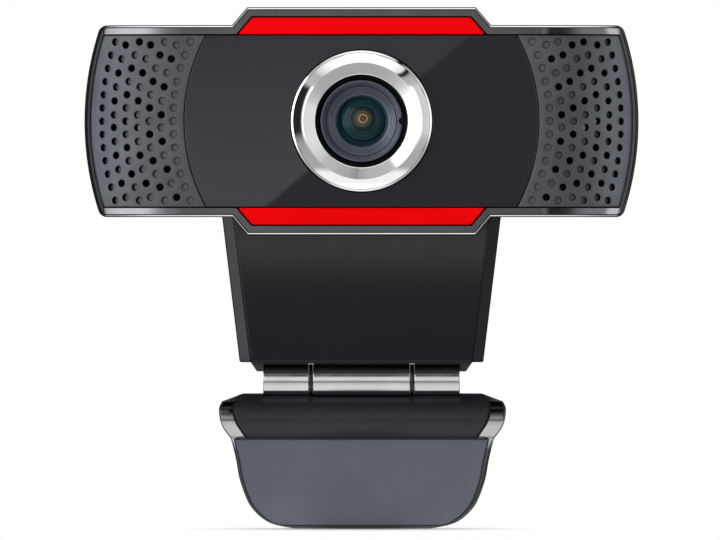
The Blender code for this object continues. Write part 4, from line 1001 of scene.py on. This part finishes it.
def lens_panel():
    """The glossy panel between the two curved seams, with a hole for the focus ring."""
    radius = SEAM_RADIUS - GAP / 2
    sweep = degrees(asin(PANEL_TOP / radius))
    outline = turned_left(lifted(mirrored(arc(SEAM_CENTRE, radius, -sweep, sweep, SEAM_STEPS))))
    hole = circle((0.0, LENS_HEIGHT), RING_RADIUS + RING_GAP, ROUND_STEPS)
    shape = plate(outline, edge_layers(deep(0.0), deep(PANEL_THICKNESS), PANEL_EDGE), [hole])
    make("lens_panel", shape, [PIANO_BLACK], sharp=FLAT_SHARP)


def lifted(outline):
    """An outline in heights above the lens axis, moved to its place in the frame."""
    return [(x, high(z)) for x, z in outline]


def along_front(x):
    """How far round the curved front a point lies, from its x."""
    return x if x < FLAT_X else FLAT_X + FRONT_CURVE * asin((x - FLAT_X) / FRONT_CURVE)


def grille_place(side):
    """Places points of (distance round the curved front, world z, depth) on one side of the head."""
    def place(along, up, depth):
        turn = max(along - FLAT_X, 0.0) / FRONT_CURVE
        reach = FRONT_CURVE - depth
        return (side * (min(along, FLAT_X) + reach * sin(turn)), deep(FRONT_CURVE - reach * cos(turn)), up)
    return place


def grille_holes():
    """The centres of the holes that go right through, and of the dimples between them, as (x, height)."""
    upper = [EVEN_ROW_START + EVEN_ROW_STEP * k for k in range(5, -1, -1)]
    even_rows = upper + [-z for z in reversed(upper)]
    odd_rows = [ODD_ROW_STEP * k for k in range(6, -7, -1)]
    through, dimples = [], []
    for column, radius in enumerate(COLUMN_RADII):
        rows = even_rows if column % 2 else odd_rows
        first = 0 if column < 4 else 1
        open_rows = rows[first:12:2] if 1 <= column <= 5 else []
        for z in rows:
            centre = (FIRST_COLUMN_X - COLUMN_STEP * column - radius + sqrt(radius ** 2 - z ** 2), z)
            (through if z in open_rows else dimples).append(centre)
    return through, dimples


def grille_outline():
    """A grille's edge on the right-hand side: the end's bow, the top, the seam with the panel and
    the bottom."""
    end_radius = END_RADIUS - GRILLE_EDGE
    seam_radius = SEAM_RADIUS + GAP / 2
    outer, inner = (degrees(asin(PANEL_TOP / radius)) for radius in (end_radius, seam_radius))
    flat = arc((END_CENTRE_X, 0.0), end_radius, -outer, outer, SEAM_STEPS)
    flat += [(float(x), PANEL_TOP) for x in range(41, 28, -2)]
    flat += arc(SEAM_CENTRE, seam_radius, inner, -inner, SEAM_STEPS)
    return flat + [(float(x), -PANEL_TOP) for x in range(29, 42, 2)]


def grille(name, side):
    """A perforated cover over one microphone. It follows the curved front, and every hole is square to it."""
    outline, through, dimples = ([(along_front(x), high(z)) for x, z in found]
                                 for found in (grille_outline(), *grille_holes()))
    rim = edge_layers(0.0, PANEL_THICKNESS, HOLE_LIP)
    left, right, low, top = extent(outline)
    pits = []
    for centre in dimples:
        floor = DIMPLE_SHALLOW + (DIMPLE_DEEP - DIMPLE_SHALLOW) * (centre[0] - left) / (right - left)
        pit = rim[:EDGE_STEPS + 1] + [(0.0, floor - 0.06), (-0.06, floor), (-0.16, floor)]
        pits.append((circle(centre, HOLE_RADIUS, HOLE_SIDES), pit))
    spare = []
    for row in range(int(top - low) + 1):
        for column in range(int(right - left) + 1):
            point = (left + 0.5 + column, low + 0.4 + row)
            clear = all((Vector(point) - Vector(centre)).length > HOLE_RADIUS + HOLE_LIP + 0.25
                        for centre in through + dimples)
            if clear and inside(point, offset(outline, 0.4)):
                spare.append(point)
    # Hole and dimple walls take painted shade black. Dimple floors take a lighter grey, painted light that
    # offsets their shade.
    shape = plate(outline, edge_layers(0.0, PANEL_THICKNESS, 0.15),
                  [circle(centre, HOLE_RADIUS, HOLE_SIDES) for centre in through], rim, grille_place(side),
                  pits, spare, 1)
    make(name, shape, [GRILLE_GREY, SHADE_BLACK, DIMPLE_FLOOR_PAINTED_LIGHT])


def accent(name, side):
    """A red bar that fills the raised centre above or below the panel."""
    ends = [(-ACCENT_FOOT_X, PANEL_TOP + GAP), (ACCENT_FOOT_X, PANEL_TOP + GAP), (ACCENT_TIP_X, ACCENT_TOP),
            (-ACCENT_TIP_X, ACCENT_TOP)]
    outline = turned_left(rounded([(x, high(side * z)) for x, z in ends], 0.2))
    make(name, plate(outline, edge_layers(deep(-ACCENT_PROUD), deep(PANEL_THICKNESS), 0.16)), [SIGNAL_RED])


# ---- focus ring and lens

def chrome_ring():
    """The turned ring: a thin outer lip, a groove painted black as painted shade, a rounded band up to the
    crest and a flat slope to the bore."""
    outer = RING_RADIUS - LIP_WIDTH
    crest, crest_height = RING_CREST
    foot_tilt, crest_tilt = radians(BAND_FOOT_TILT), radians(BAND_CREST_TILT)
    lip = [(RING_RADIUS, -1.75), (RING_RADIUS, 2.10), (outer + 0.06, 2.28), (outer + 0.02, 2.26),
           (outer, 2.1)]
    radius = (outer - crest) / (sin(foot_tilt) - sin(crest_tilt))
    middle = (outer - radius * sin(foot_tilt), crest_height - radius * cos(crest_tilt))
    band = arc(middle, radius, 90.0 - BAND_FOOT_TILT, 90.0 - BAND_CREST_TILT, 24)
    bore = rounded([band[-1], (8.15, 3.1), (RING_BORE, 2.96), (RING_BORE, -0.9), (9.0, -0.9), (9.0, -1.75)],
                   [0.0, 0.12, 0.1, 0.05, 0.05, 0.0], closed=False)
    shape = turned(lip + band + bore[1:])
    # The groove's faces take the carrier black, as painted shade.
    groove = range((len(lip) - 2) * ROUND_STEPS, len(lip) * ROUND_STEPS)
    shape.looks = [int(k in groove) for k in range(len(shape.faces))]
    make("chrome_ring", shape, [CHROME, CARRIER_BLACK], sharp=14.0)


def focus_carrier():
    """The black sleeve behind the ring, with the flange that grips the panel and the key that
    turns the barrel."""
    profile = [(8.85, -1.05), (8.85, -1.9), (13.2, -1.9), (13.2, -3.2), (8.6, -3.2), (8.6, -4.0),
               (7.25, -4.0),
               (7.25, -1.05)]
    key = slab((6.75, deep(1.05), high(-0.4)), (7.6, deep(2.75), high(0.4)), 0.08)
    make("focus_carrier", turned(rounded(profile, 0.08, 2)), [CARRIER_BLACK], [("join", key)])


def lens_barrel():
    """The threaded barrel: a rim with fine steps that stop stray light, and a notch for the focus key."""
    profile = [(6.1, -1.0), (4.35, -1.0), (4.35, -8.4), (3.4, -8.4), (3.4, -9.6), (5.95, -9.6), (5.95, -3.2),
               (BARREL_RADIUS, -3.2), (BARREL_RADIUS, 1.8), (6.6, 1.8), (6.6, 1.5), (6.42, 1.5),
               (6.42, 1.22),
               (6.25, 1.22), (6.25, 0.95), (6.1, 0.95)]
    notch = rod("back", (BARREL_RADIUS, LENS_HEIGHT), deep(-3.0), deep(3.05), NOTCH_RADIUS)
    make("lens_barrel", turned(rounded(profile, 0.05, 2)), [BARREL_BLACK], [("cut", notch)])


def lens_retainer():
    """The threaded cone that holds the front element, with fine steps down to a coated rim. The steps' risers
    are painted black as painted shade.
    """
    profile = [(5.95, -0.85), (5.95, 0.6)]
    for k in range(CONE_STEPS):
        radius, height = 5.78 - 0.25 * k, 0.55 - 0.22 * k
        profile += [(radius, height), (radius - 0.09, height - 0.14)]
    profile += [(4.72, -0.34), (4.62, -0.55), (4.54, -0.55), (4.48, -0.42), (4.36, -0.52), (4.30, -0.74),
                (ELEMENT_RADIUS, -0.82)]
    shape = turned(profile)
    across = [max(hypot(shape.points[k][0],
                        shape.points[k][2] - LENS_HEIGHT) for k in face) for face in shape.faces]
    shape.looks = [int(reach < COATED_REACH) for reach in across]
    # Each step's riser takes the carrier black, as painted shade.
    for k in range(CONE_STEPS):
        groove = (2 + 2 * k) * ROUND_STEPS
        shape.looks[groove:groove + ROUND_STEPS] = [2] * ROUND_STEPS
    make("lens_retainer", shape, [CONE_GREY, COATED_RIM, CARRIER_BLACK], sharp=25.0)


def front_element():
    """A domed glass element."""
    rim = degrees(asin(ELEMENT_RADIUS / ELEMENT_SPHERE))
    dome = arc((0.0, ELEMENT_CREST - ELEMENT_SPHERE), ELEMENT_SPHERE, 90.0, 90.0 - rim, 20)
    dome[0] = (0.0, ELEMENT_CREST)
    make("front_element", turned(dome + [(ELEMENT_RADIUS, -3.3), (2.0, -3.7), (0.0, -3.85)], steps=96),
         [LENS_GLASS])


# ---- back of the head

def cable_gland():
    """A ribbed rubber sleeve in the back wall, open where the cord comes out."""
    inner = -SHELL_WALL - GAP
    profile = [(2.6, 8.2), (3.0, 5.2), (3.0, 4.6), (3.6, 4.4), (3.6, 3.4), (3.1, 3.2), (3.1, 2.6),
               (3.9, 2.4),
               (3.9, GAP), (GLAND_NECK, GAP), (GLAND_NECK, inner), (4.2, inner), (4.2, -2.6), (1.9, -2.6),
               (1.9, 8.2)]
    shape = turned(rounded(profile, 0.22), (0.0, deep(BACK_DEPTH), high(GLAND_RISE)), "back", 64)
    make("cable_gland", shape, [BLACK_RUBBER])


def tilt_bracket():
    """A plate on the back of the head with two ears for the tilt pin."""
    back = deep(BACK_DEPTH)
    low, top = BRACKET_LOW, BRACKET_HIGH
    outline = rounded([(low.x, low.z), (top.x, low.z), (top.x, top.z), (low.x, top.z)], 1.0)
    shape = plate(outline, edge_layers(back + GAP, back + GAP + BRACKET_PLATE, 0.05, 0.25))
    ears = both_sides(SIDE_KNUCKLE_INNER, EAR_OUTER)
    webs = Shape()
    for near, far in ears:
        slab((near, back + 1.0, TILT_HEIGHT - BARREL_OUTER), (far, TILT_PIN[0], TILT_HEIGHT + BARREL_OUTER),
             0.0, webs)
    make("tilt_bracket", shape, [SHELL_BLACK], [("join", webs), ("join", knuckles(TILT_PIN, ears)),
                                                ("cut", pin_bore(TILT_PIN, top.x))])


def crossed_screw(name, centre, seat, length):
    """A pan-head screw that faces backward, with a cross recess in its rounded head."""
    top = SCREW_HEAD_HEIGHT
    profile = [(0.0, top), (SCREW_HEAD * 0.7, top), (SCREW_HEAD, top * 0.6), (SCREW_HEAD, 0.0),
               (SCREW_SHANK, 0.0), (SCREW_SHANK, 0.5 - length), (0.0, -length)]
    profile = rounded(profile, [0.0, 0.5, 0.25, 0.05, 0.0, 0.1, 0.0], closed=False)
    slots = [slab((centre[0] - across, seat + 0.5, centre[1] - up),
                  (centre[0] + across, seat + top + OVERRUN, centre[1] + up), 0.06)
             for across, up in ((1.0, 0.2), (0.2, 1.0))]
    shape = turned(profile, (centre[0], seat, centre[1]), "back", SMALL_STEPS)
    make(name, shape, [STEEL], [("cut", slot) for slot in slots])


# ---- clip arm

def arm_outline(side_inset, top_inset, bottom_inset):
    """The arm's tapering outline, drawn in from its sides, top and bottom, with softened corners."""
    top_half = ARM_TOP_HALF - side_inset
    bottom_half = ARM_BOTTOM_HALF - side_inset
    top = ARM_TOP - top_inset
    bottom = ARM_BOTTOM + bottom_inset
    return rounded([(-bottom_half, bottom), (bottom_half, bottom), (top_half, top), (-top_half, top)],
                   ARM_CORNER, 3)


def arm_stack(layers):
    """A solid through the arm's outlines, each given as (y, side, top and bottom insets)."""
    shape = Shape()
    outlines = [arm_outline(*insets) for _, *insets in layers]
    rings = [shape.ring([upright(a, b, depth) for a, b in outline])
             for outline, (depth, *_) in zip(outlines, layers)]
    shape.chain(rings)
    shape.fill([(outlines[0], rings[0])])
    shape.fill([(outlines[-1], rings[-1])])
    return shape


def arm_front_plate():
    """The glossy plate. A fine groove runs down each side, between its flat face and a wide bevel."""
    face = ARM_BEVEL
    layers = [(ARM_PLATE, 0.06, 0.06, 0.06), (ARM_PLATE - 0.06, 0.0, 0.0, 0.0),
              (1.07, 0.0, 0.0, 0.0), (0.92, 0.14, 0.0, 0.0), (0.88, 0.18, 0.02, 0.0),
              (0.30, face - 0.28, 0.2, 0.0), (0.40, face - 0.24, 0.2, 0.0), (0.40, face - 0.10, 0.2, 0.0),
              (0.10, face - 0.03, 0.25, 0.1), (0.03, face - 0.01, 0.3, 0.2), (0.0, face + 0.05, 0.4, 0.3)]
    shape = arm_stack(layers)
    around = len(arm_outline(0.0, 0.0, 0.0))
    shape.looks[2 * around:3 * around] = [1] * around
    make("arm_front_plate", shape, [ARM_BLACK, SHADE_BLACK], sharp=FLAT_SHARP)


def arm_rear_cover():
    """The hollow back of the arm, with the tilt barrel above it, screw posts, and a slot for the
    hinge leaf."""
    seat = ARM_PLATE + GAP
    floor = ARM_DEPTH - ARM_WALL
    layers = [(seat, 0.06, 0.06, 0.06), (seat + 0.06, 0.0, 0.0, 0.0)]
    for k in range(9):
        turn = pi / 2 * k / 8
        draw = 1 - cos(turn)
        layers.append((ARM_DEPTH - 1.2 * (1 - sin(turn)), 1.2 * draw, 0.4 * draw, 1.2 * draw))
    pocket = arm_stack([(y, ARM_WALL, ARM_WALL, ARM_WALL) for y in (seat - OVERRUN, floor)])
    barrel = knuckles(TILT_PIN, [(-CENTRE_KNUCKLE, CENTRE_KNUCKLE)])
    neck = slab((-NECK_HALF, GAP, ARM_TOP + GAP), (NECK_HALF, ARM_DEPTH - GAP, TILT_HEIGHT + 0.5))
    root = slab((-NECK_HALF, seat + GAP, ARM_TOP - 0.9), (NECK_HALF, ARM_DEPTH - 2 * GAP, ARM_TOP + 1.0))
    slot = slab((-SHOULDER_HALF - GAP, 0.0, ARM_BOTTOM - OVERRUN),
                (SHOULDER_HALF + GAP, ARM_LEAF_BACK + GAP, ARM_BOTTOM + 2.0))
    screws = UPPER_SCREWS + LOWER_SCREWS
    posts = bars(UPPER_SCREWS, seat, floor + 0.4, ARM_SCREW_POST)
    bars(LOWER_SCREWS, ARM_LEAF_BACK + GAP, floor + 0.4, ARM_SCREW_POST, posts)
    make("arm_rear_cover", arm_stack(layers), [SHELL_BLACK],
         [("cut", pocket), ("join", barrel), ("join", neck), ("join", root),
          ("cut", pin_bore(TILT_PIN, CENTRE_KNUCKLE + OVERRUN)), ("cut", slot), ("join", posts),
          ("cut", bars(screws, 0.0, ARM_DEPTH + OVERRUN, 1.1)),
          ("cut", bars(screws, ARM_DEPTH - ARM_SCREW_SINK, ARM_DEPTH + OVERRUN, HEAD_BORE))])


def clamp_knuckles():
    """The arm's half of the clamp hinge: a leaf with a shoulder, painted black as painted shade, and a plated
    barrel each side.
    """
    tip = ARM_BOTTOM - SHOULDER_DROP
    left = [(-SHOULDER_HALF, KNUCKLES_HIGH.z), (-SHOULDER_HALF, ARM_BOTTOM), (-SHOULDER_TIP, tip),
            (-SIDE_KNUCKLE_OUTER, tip), (-SIDE_KNUCKLE_OUTER, CLAMP_HEIGHT),
            (-SIDE_KNUCKLE_INNER, CLAMP_HEIGHT), (-SIDE_KNUCKLE_INNER, ARM_BOTTOM - 0.5)]
    leaf = plate(turned_left(mirrored(left)), edge_layers(ARM_LEAF_BACK - LEAF_THICKNESS, ARM_LEAF_BACK,
                                                          0.12, 0.12))
    room = rod("right", CLAMP_PIN, -SIDE_KNUCKLE_INNER, SIDE_KNUCKLE_INNER, BARREL_OUTER + LEAF_ROOM,
               BARREL_STEPS)
    # The leaf and the hollow round the centre barrel take the shell black, as painted shade.
    for black in (leaf, room):
        black.looks = [1] * len(black.faces)
    make("clamp_knuckles", leaf, [HINGE_CHROME, SHELL_BLACK],
         [("cut", room), ("join", knuckles(CLAMP_PIN, both_sides(SIDE_KNUCKLE_INNER, SIDE_KNUCKLE_OUTER))),
          ("cut", pin_bore(CLAMP_PIN, SHOULDER_HALF)), ("cut", bars(LOWER_SCREWS, 0.0, ARM_DEPTH, 1.3))])


def hinge_pin(name, pin, half):
    make(name, rod("right", pin, -half, half, PIN_RADIUS, SMALL_STEPS, 0.12), [STEEL])


def hinge_washers(hinge, pin):
    """The friction washer in each of a hinge's two gaps."""
    middle = (CENTRE_KNUCKLE + SIDE_KNUCKLE_INNER) / 2
    half = (SIDE_KNUCKLE_INNER - CENTRE_KNUCKLE) / 2 - WASHER_PLAY
    profile = rounded([(WASHER_OUTER, -half), (WASHER_OUTER, half), (PIN_BORE, half), (PIN_BORE, -half)],
                      0.08, 3)
    for side, word in ((-1, "left"), (1, "right")):
        shape = turned(profile, (side * middle, *pin), "right", SMALL_STEPS)
        make(f"{hinge}_washer_{word}", shape, [DARK_STEEL])


# ---- clip leg

def half_width(chain, z):
    """Half of an outline's width at a height, from its right-hand chain of (half width, height)."""
    for (near, above), (far, below) in zip(chain, chain[1:]):
        if below <= z <= above:
            return near + (far - near) * (above - z) / (above - below)
    return chain[0][0] if z > chain[0][1] else chain[-1][0]


def leg_stack(slices):
    """A solid of level slices, each (half width, height, front, back) with the radii of its front
    and back edges."""
    shape = Shape()
    rings = []
    for half, z, front, back, front_edge, back_edge in slices:
        ends = [(-half, front), (half, front), (half, back), (-half, back)]
        around = rounded(ends, [front_edge, front_edge, back_edge, back_edge], 6)
        rings.append(shape.ring([(x, y, high(z)) for x, y in around]))
    shape.chain(rings)
    shape.face(rings[0])
    shape.face(rings[-1])
    return shape


def roll_heights(radius, top, bottom):
    """Heights above the lens axis that step evenly round the roll, from top to bottom."""
    first, last = (asin(max(min((z - ROLL_MIDDLE) / radius, 1.0), -1.0)) for z in (top, bottom))
    return [ROLL_MIDDLE + radius * sin(first + (last - first) * k / ROLL_STEPS)
            for k in range(ROLL_STEPS + 1)]


def roll_front(radius, z):
    """How far forward the roll reaches at a height."""
    return ROLL_CENTRE[0] - sqrt(max(radius ** 2 - (z - ROLL_MIDDLE) ** 2, 0.0))


def rounded_in(distance, radius):
    """How far an edge of this radius has drawn in, at a distance from the end of the piece."""
    beyond = max(radius - distance, 0.0)
    return radius - sqrt(radius ** 2 - beyond ** 2)


def leg_shell():
    """The leg's body: a cheek at each side of the roll, a crease, and a thin bead round the pad."""
    chain = CHEEK_OUTLINE[:1] + smooth_chain(CHEEK_OUTLINE[1:] + PAD_OUTLINE, 8)
    radius = ROLL_RADIUS + CHEEK_PROUD
    levels = roll_heights(radius, LEG_TOP, CREASE) + [CREASE - 0.12] + [z for _,
                                                                        z in chain if z < CREASE - 0.3]
    slices = []
    for z in levels:
        rise = z - LEG_BOTTOM
        front = roll_front(radius, z) if z >= CREASE else PAD_FRONT - CHEEK_PROUD + rounded_in(rise, 0.4)
        back = LEG_BACK - max(rounded_in(rise, LEG_SOFT), rounded_in(LEG_TOP - z, LEG_SOFT))
        edge = 0.5 if z > CREASE + 1.2 else 0.3 + 0.2 * max((z - CREASE) / 1.2, 0.0)
        slices.append((half_width(chain, z) + LEG_SPREAD, z, front, back, edge, LEG_SOFT))
    shape = leg_stack(slices)
    shape.looks = [int(k % SLICE_POINTS in SLICE_FRONT) for k in range(len(shape.faces))]
    shape.points = [(x + LEG_SPREAD, y, z) for x, y, z in shape.points]
    half = CENTRE_KNUCKLE + 2 * GAP
    leaf_room = slab((-half, AHEAD_OF_ALL, CLAMP_HEIGHT - LEG_LEAF_DROP - GAP),
                     (half, LEG_LEAF_FRONT + LEAF_THICKNESS + GAP, CLAMP_HEIGHT))
    pad_room = prism(pad_outline(BEAD_WIDTH), AHEAD_OF_ALL, PAD_BACK + GAP)
    make("leg_shell", shape, [ARM_BLACK, LEG_GLOSS],
         [("cut", roll_room()), ("cut", pad_room), ("cut", hinge_room()), ("cut", leaf_room)])


def roll_room():
    """The hollow between the cheeks that the roll cover lies in."""
    points = [(ROLL_OUTLINE[0][0], LEG_TOP + OVERRUN)] + smooth_chain(ROLL_OUTLINE[1:])[:-1]
    points.append((ROLL_OUTLINE[-1][0], CREASE - 0.1))
    return prism(turned_left(lifted(mirrored(points))), AHEAD_OF_ALL, COVER_SEAT)


def hinge_room():
    """The round hollow that the arm's knuckles turn in."""
    half = SIDE_KNUCKLE_OUTER + KNUCKLE_ROOM
    return rod("right", CLAMP_PIN, -half, half, BARREL_OUTER + KNUCKLE_ROOM, BARREL_STEPS)


def pad_outline(inset):
    """The pad's outline below the crease, drawn in evenly."""
    top = (PAD_OUTLINE[0][0] - inset, CREASE + BEAD_WIDTH - inset)
    points = [top] + [(x - inset, max(z, LEG_BOTTOM + inset)) for x, z in PAD_OUTLINE[1:]]
    return turned_left(lifted(mirrored([top] + smooth_chain(points)[1:])))


def leg_roll_cover():
    """The satin half-round cover that hides the hinge leaf."""
    narrow = [(x - ROLL_GAP, z) for x, z in ROLL_OUTLINE]
    chain = narrow[:1] + smooth_chain(narrow[1:], 8)
    back = COVER_SEAT - GAP
    top = ROLL_MIDDLE + sqrt(ROLL_RADIUS ** 2 - (ROLL_CENTRE[0] - back) ** 2) - 0.01
    slices = []
    for z in roll_heights(ROLL_RADIUS, top, CREASE + GAP):
        front = roll_front(ROLL_RADIUS, z)
        slices.append((half_width(chain, z), z, front, back, min(0.35, (back - front) * 0.45), 0.03))
    make("leg_roll_cover", leg_stack(slices), [ROLL_SATIN], [("cut", hinge_room())])


def leg_pad():
    """The rubber pad that presses on the back of the screen."""
    make("leg_pad", plate(pad_outline(BEAD_WIDTH + GAP), edge_layers(PAD_FRONT, PAD_BACK, 0.18)),
         [PAD_RUBBER])


def leg_hinge_leaf():
    """The leg's half of the clamp hinge: the centre barrel, with a leaf that runs down under the roll cover.
    The leaf is painted black as painted shade."""
    leaf = slab((-CENTRE_KNUCKLE, LEG_LEAF_FRONT, CLAMP_HEIGHT - LEG_LEAF_DROP),
                (CENTRE_KNUCKLE, LEG_LEAF_FRONT + LEAF_THICKNESS, CLAMP_HEIGHT - PIN_BORE - 0.4))
    # The leaf takes the carrier black, as painted shade.
    leaf.looks = [1] * len(leaf.faces)
    holes = bars([(side * 5.0, CLAMP_HEIGHT - 6.8) for side in (-1, 1)], CLAMP_PIN[0] - OVERRUN, LEG_BACK,
                 1.1)
    make("leg_hinge_leaf", knuckles(CLAMP_PIN, [(-CENTRE_KNUCKLE, CENTRE_KNUCKLE)]),
         [HINGE_CHROME, CARRIER_BLACK],
         [("join", leaf), ("cut", pin_bore(CLAMP_PIN, CENTRE_KNUCKLE + OVERRUN)), ("cut", holes)])


# ---- assembly

front_frame()
rear_shell()
lens_panel()
grille("grille_left", -1)
grille("grille_right", 1)
accent("accent_bottom", -1)
accent("accent_top", 1)
chrome_ring()
focus_carrier()
lens_barrel()
lens_retainer()
front_element()
cable_gland()
tilt_bracket()
for number, place in enumerate(SHELL_SCREWS, 1):
    crossed_screw(f"shell_screw_{number}", place, deep(BACK_DEPTH - SHELL_SCREW_SINK), 15.5)
for number, place in enumerate(UPPER_SCREWS + LOWER_SCREWS, 1):
    crossed_screw(f"arm_screw_{number}", place, ARM_DEPTH - ARM_SCREW_SINK + GAP, 3.3)
arm_front_plate()
arm_rear_cover()
clamp_knuckles()
for hinge, axis, reach in (("tilt", TILT_PIN, EAR_OUTER - 0.3),
                           ("clamp", CLAMP_PIN, SIDE_KNUCKLE_OUTER - 0.2)):
    hinge_pin(hinge + "_pin", axis, reach)
    hinge_washers(hinge, axis)
leg_shell()
leg_roll_cover()
leg_pad()
leg_hinge_leaf()

INNER_LOOKS = {"main_board": board_finish(), "image_sensor": INNER_PLASTIC, "video_chip": INNER_PLASTIC,
               "cable_header": HEADER_WHITE, "lens_holder": INNER_PLASTIC, "infrared_filter": FILTER_GLASS,
               "microphone_left": CAPSULE_METAL, "microphone_right": CAPSULE_METAL,
               "microphone_boot_left": BLACK_RUBBER, "microphone_boot_right": BLACK_RUBBER,
               "lens_spacer": CARRIER_BLACK, "rear_element": LENS_GLASS}
for node, packed in frame["nodes"].items():
    packed.data.materials.clear()
    packed.data.materials.append(INNER_LOOKS.get(node, STEEL))


# ---- room

def stepped(nodes, angle, stops):
    """A value read from (degrees, value) stops, for an angle in radians."""
    low, top = stops[0][0], stops[-1][0]
    most = max(value for _, value in stops)
    share = nodes.even(angle, radians(low), radians(top), 0.0, 1.0)
    tones = [((degree - low) / (top - low), (value / most,) * 3) for degree, value in stops]
    return nodes.maths("MULTIPLY", nodes.ramp(share, tones), most)


def turned_past(nodes, angle, limits):
    """0 before one angle and 1 after another. The limits are in degrees."""
    return nodes.span(angle, *(radians(limit) for limit in limits))


def studio_world():
    """White to the camera. What the surfaces reflect is a dim room with soft panels and a slanting
    edge in front."""
    world = bpy.data.worlds.new("studio")
    bpy.context.scene.world = world
    nodes = Nodes(world, "Generated")
    x, y, z = (nodes.part(axis) for axis in "XYZ")
    forward = nodes.maths("MULTIPLY", y, -1.0)
    turn = nodes.maths("ARCTAN2", nodes.maths("MULTIPLY", x, -1.0), forward)
    aside = nodes.maths("ABSOLUTE", turn)
    rise = nodes.maths("ARCSINE", z)

    over = nodes.mix(turned_past(nodes, turn, LEFT_TURN), stepped(nodes, rise, OVER_RIGHT),
                     stepped(nodes, rise, OVER_LEFT))
    over = nodes.mix(turned_past(nodes, aside, BACK_TURN), over, stepped(nodes, rise, OVER_BACK))
    room = nodes.mix(turned_past(nodes, rise, SIDE_RISE), stepped(nodes, turn, AROUND), over)
    narrow = nodes.maths("SUBTRACT", 1.0, turned_past(nodes, aside, FRONT_TURN))
    strip = nodes.maths("MULTIPLY", narrow, turned_past(nodes, rise, FRONT_RISE))
    room = nodes.mix(strip, room, stepped(nodes, rise, OVER_FRONT))

    near = nodes.maths("MAXIMUM", forward, 0.02)
    up = nodes.maths("MULTIPLY", nodes.maths("DIVIDE", z, near), CAMERA_DISTANCE)
    slant = nodes.maths("MULTIPLY", nodes.maths("DIVIDE", x, near), EDGE_SLOPE * CAMERA_DISTANCE)
    past_edge = nodes.span(nodes.maths("SUBTRACT", up, slant), EDGE_HEIGHT - EDGE_SOFT,
                           EDGE_HEIGHT + EDGE_SOFT)
    head = nodes.mix(past_edge, LOWER_RIGHT, nodes.span(up, *UPPER_LEFT_HEIGHTS, *UPPER_LEFT))
    arm = nodes.mix(nodes.span(up, *ARM_HIGH), nodes.span(up, *ARM_LOW, *ARM_LOW_TONES), ARM_HIGH_TONE)
    front = nodes.mix(nodes.span(up, *HEAD_FOOT), arm, head)
    beyond = nodes.maths("ABSOLUTE", nodes.maths("SUBTRACT", up, FRONT_MIDDLE))
    front = nodes.mix(nodes.span(beyond, *FRONT_REACH), front, BESIDE_FRONT)

    seen = nodes.mix(nodes.span(forward, *AHEAD), room, front)
    camera_ray = nodes.add("LightPath", {}, "Is Camera Ray")
    background = nodes.tree.nodes["Background"]
    nodes.put(background.inputs["Strength"], nodes.mix(camera_ray, seen, 1.0))
    nodes.put(background.inputs["Color"], (1.0, 1.0, 1.0))


def studio_floor():
    """A pale floor under the leg. To reflections it is a glowing patch standing in for a lit floor, with a
    painted shadow under the object and behind it, that fades away from the object.
    """
    look = bpy.data.materials.new("studio_floor")
    nodes = Nodes(look)
    nodes.shade(Base_Color=(0.92, 0.92, 0.92), Roughness=0.9)
    distance = nodes.vector("LENGTH", nodes.place, output="Value")
    level = nodes.span(distance, *FLOOR_CONTACT_SHADOW)
    for start, stop, tone in FLOOR_TONES:
        level = nodes.mix(nodes.span(distance, start, stop), level, tone)
    level = nodes.maths("MULTIPLY", level, nodes.span(nodes.part("Y"), *FLOOR_SHADE_BEHIND))
    camera_ray = nodes.add("LightPath", {}, "Is Camera Ray")
    seen = nodes.add("MixShader", {0: camera_ray, 1: nodes.add("Emission", {"Strength": level}),
                                   2: nodes.shader.outputs["BSDF"]})
    fade = nodes.mix(camera_ray, nodes.span(distance, *FLOOR_CLEAR), nodes.span(distance, *CONTACT_CLEAR))
    below = nodes.add("NewGeometry", {}, "Backfacing")
    sided = nodes.add("MixShader", {0: nodes.maths("MAXIMUM", fade, below), 1: seen,
                                    2: nodes.add("BsdfTransparent", {})})
    nodes.put(nodes.tree.nodes["Material Output"].inputs["Surface"], sided)
    mesh = bpy.data.meshes.new("studio_floor")
    half = FLOOR_SIZE / 2
    mesh.from_pydata([(-half, -half, 0.0), (half, -half, 0.0), (half, half, 0.0), (-half, half, 0.0)], [],
                     [(0, 1, 2, 3)])
    mesh.materials.append(look)
    floor = bpy.data.objects.new("studio_floor", mesh)
    bpy.context.scene.collection.objects.link(floor)
    floor.location = (0.0, 0.0, CAD_LOW.z)


def studio_camera():
    """A far camera, square to the front."""
    data = bpy.data.cameras.new("camera")
    data.sensor_width = SENSOR_WIDTH
    data.lens = SENSOR_WIDTH * CAMERA_DISTANCE / FRAME_WIDTH
    camera = bpy.data.objects.new("camera", data)
    bpy.context.scene.collection.objects.link(camera)
    camera.location = (CAMERA_X * MM, deep(-CAMERA_DISTANCE) * MM, CAMERA_Z * MM)
    camera.rotation_euler = (pi / 2, 0.0, 0.0)
    bpy.context.scene.camera = camera


studio_world()
studio_floor()
studio_camera()
bpy.context.scene.view_settings.view_transform = "Standard"
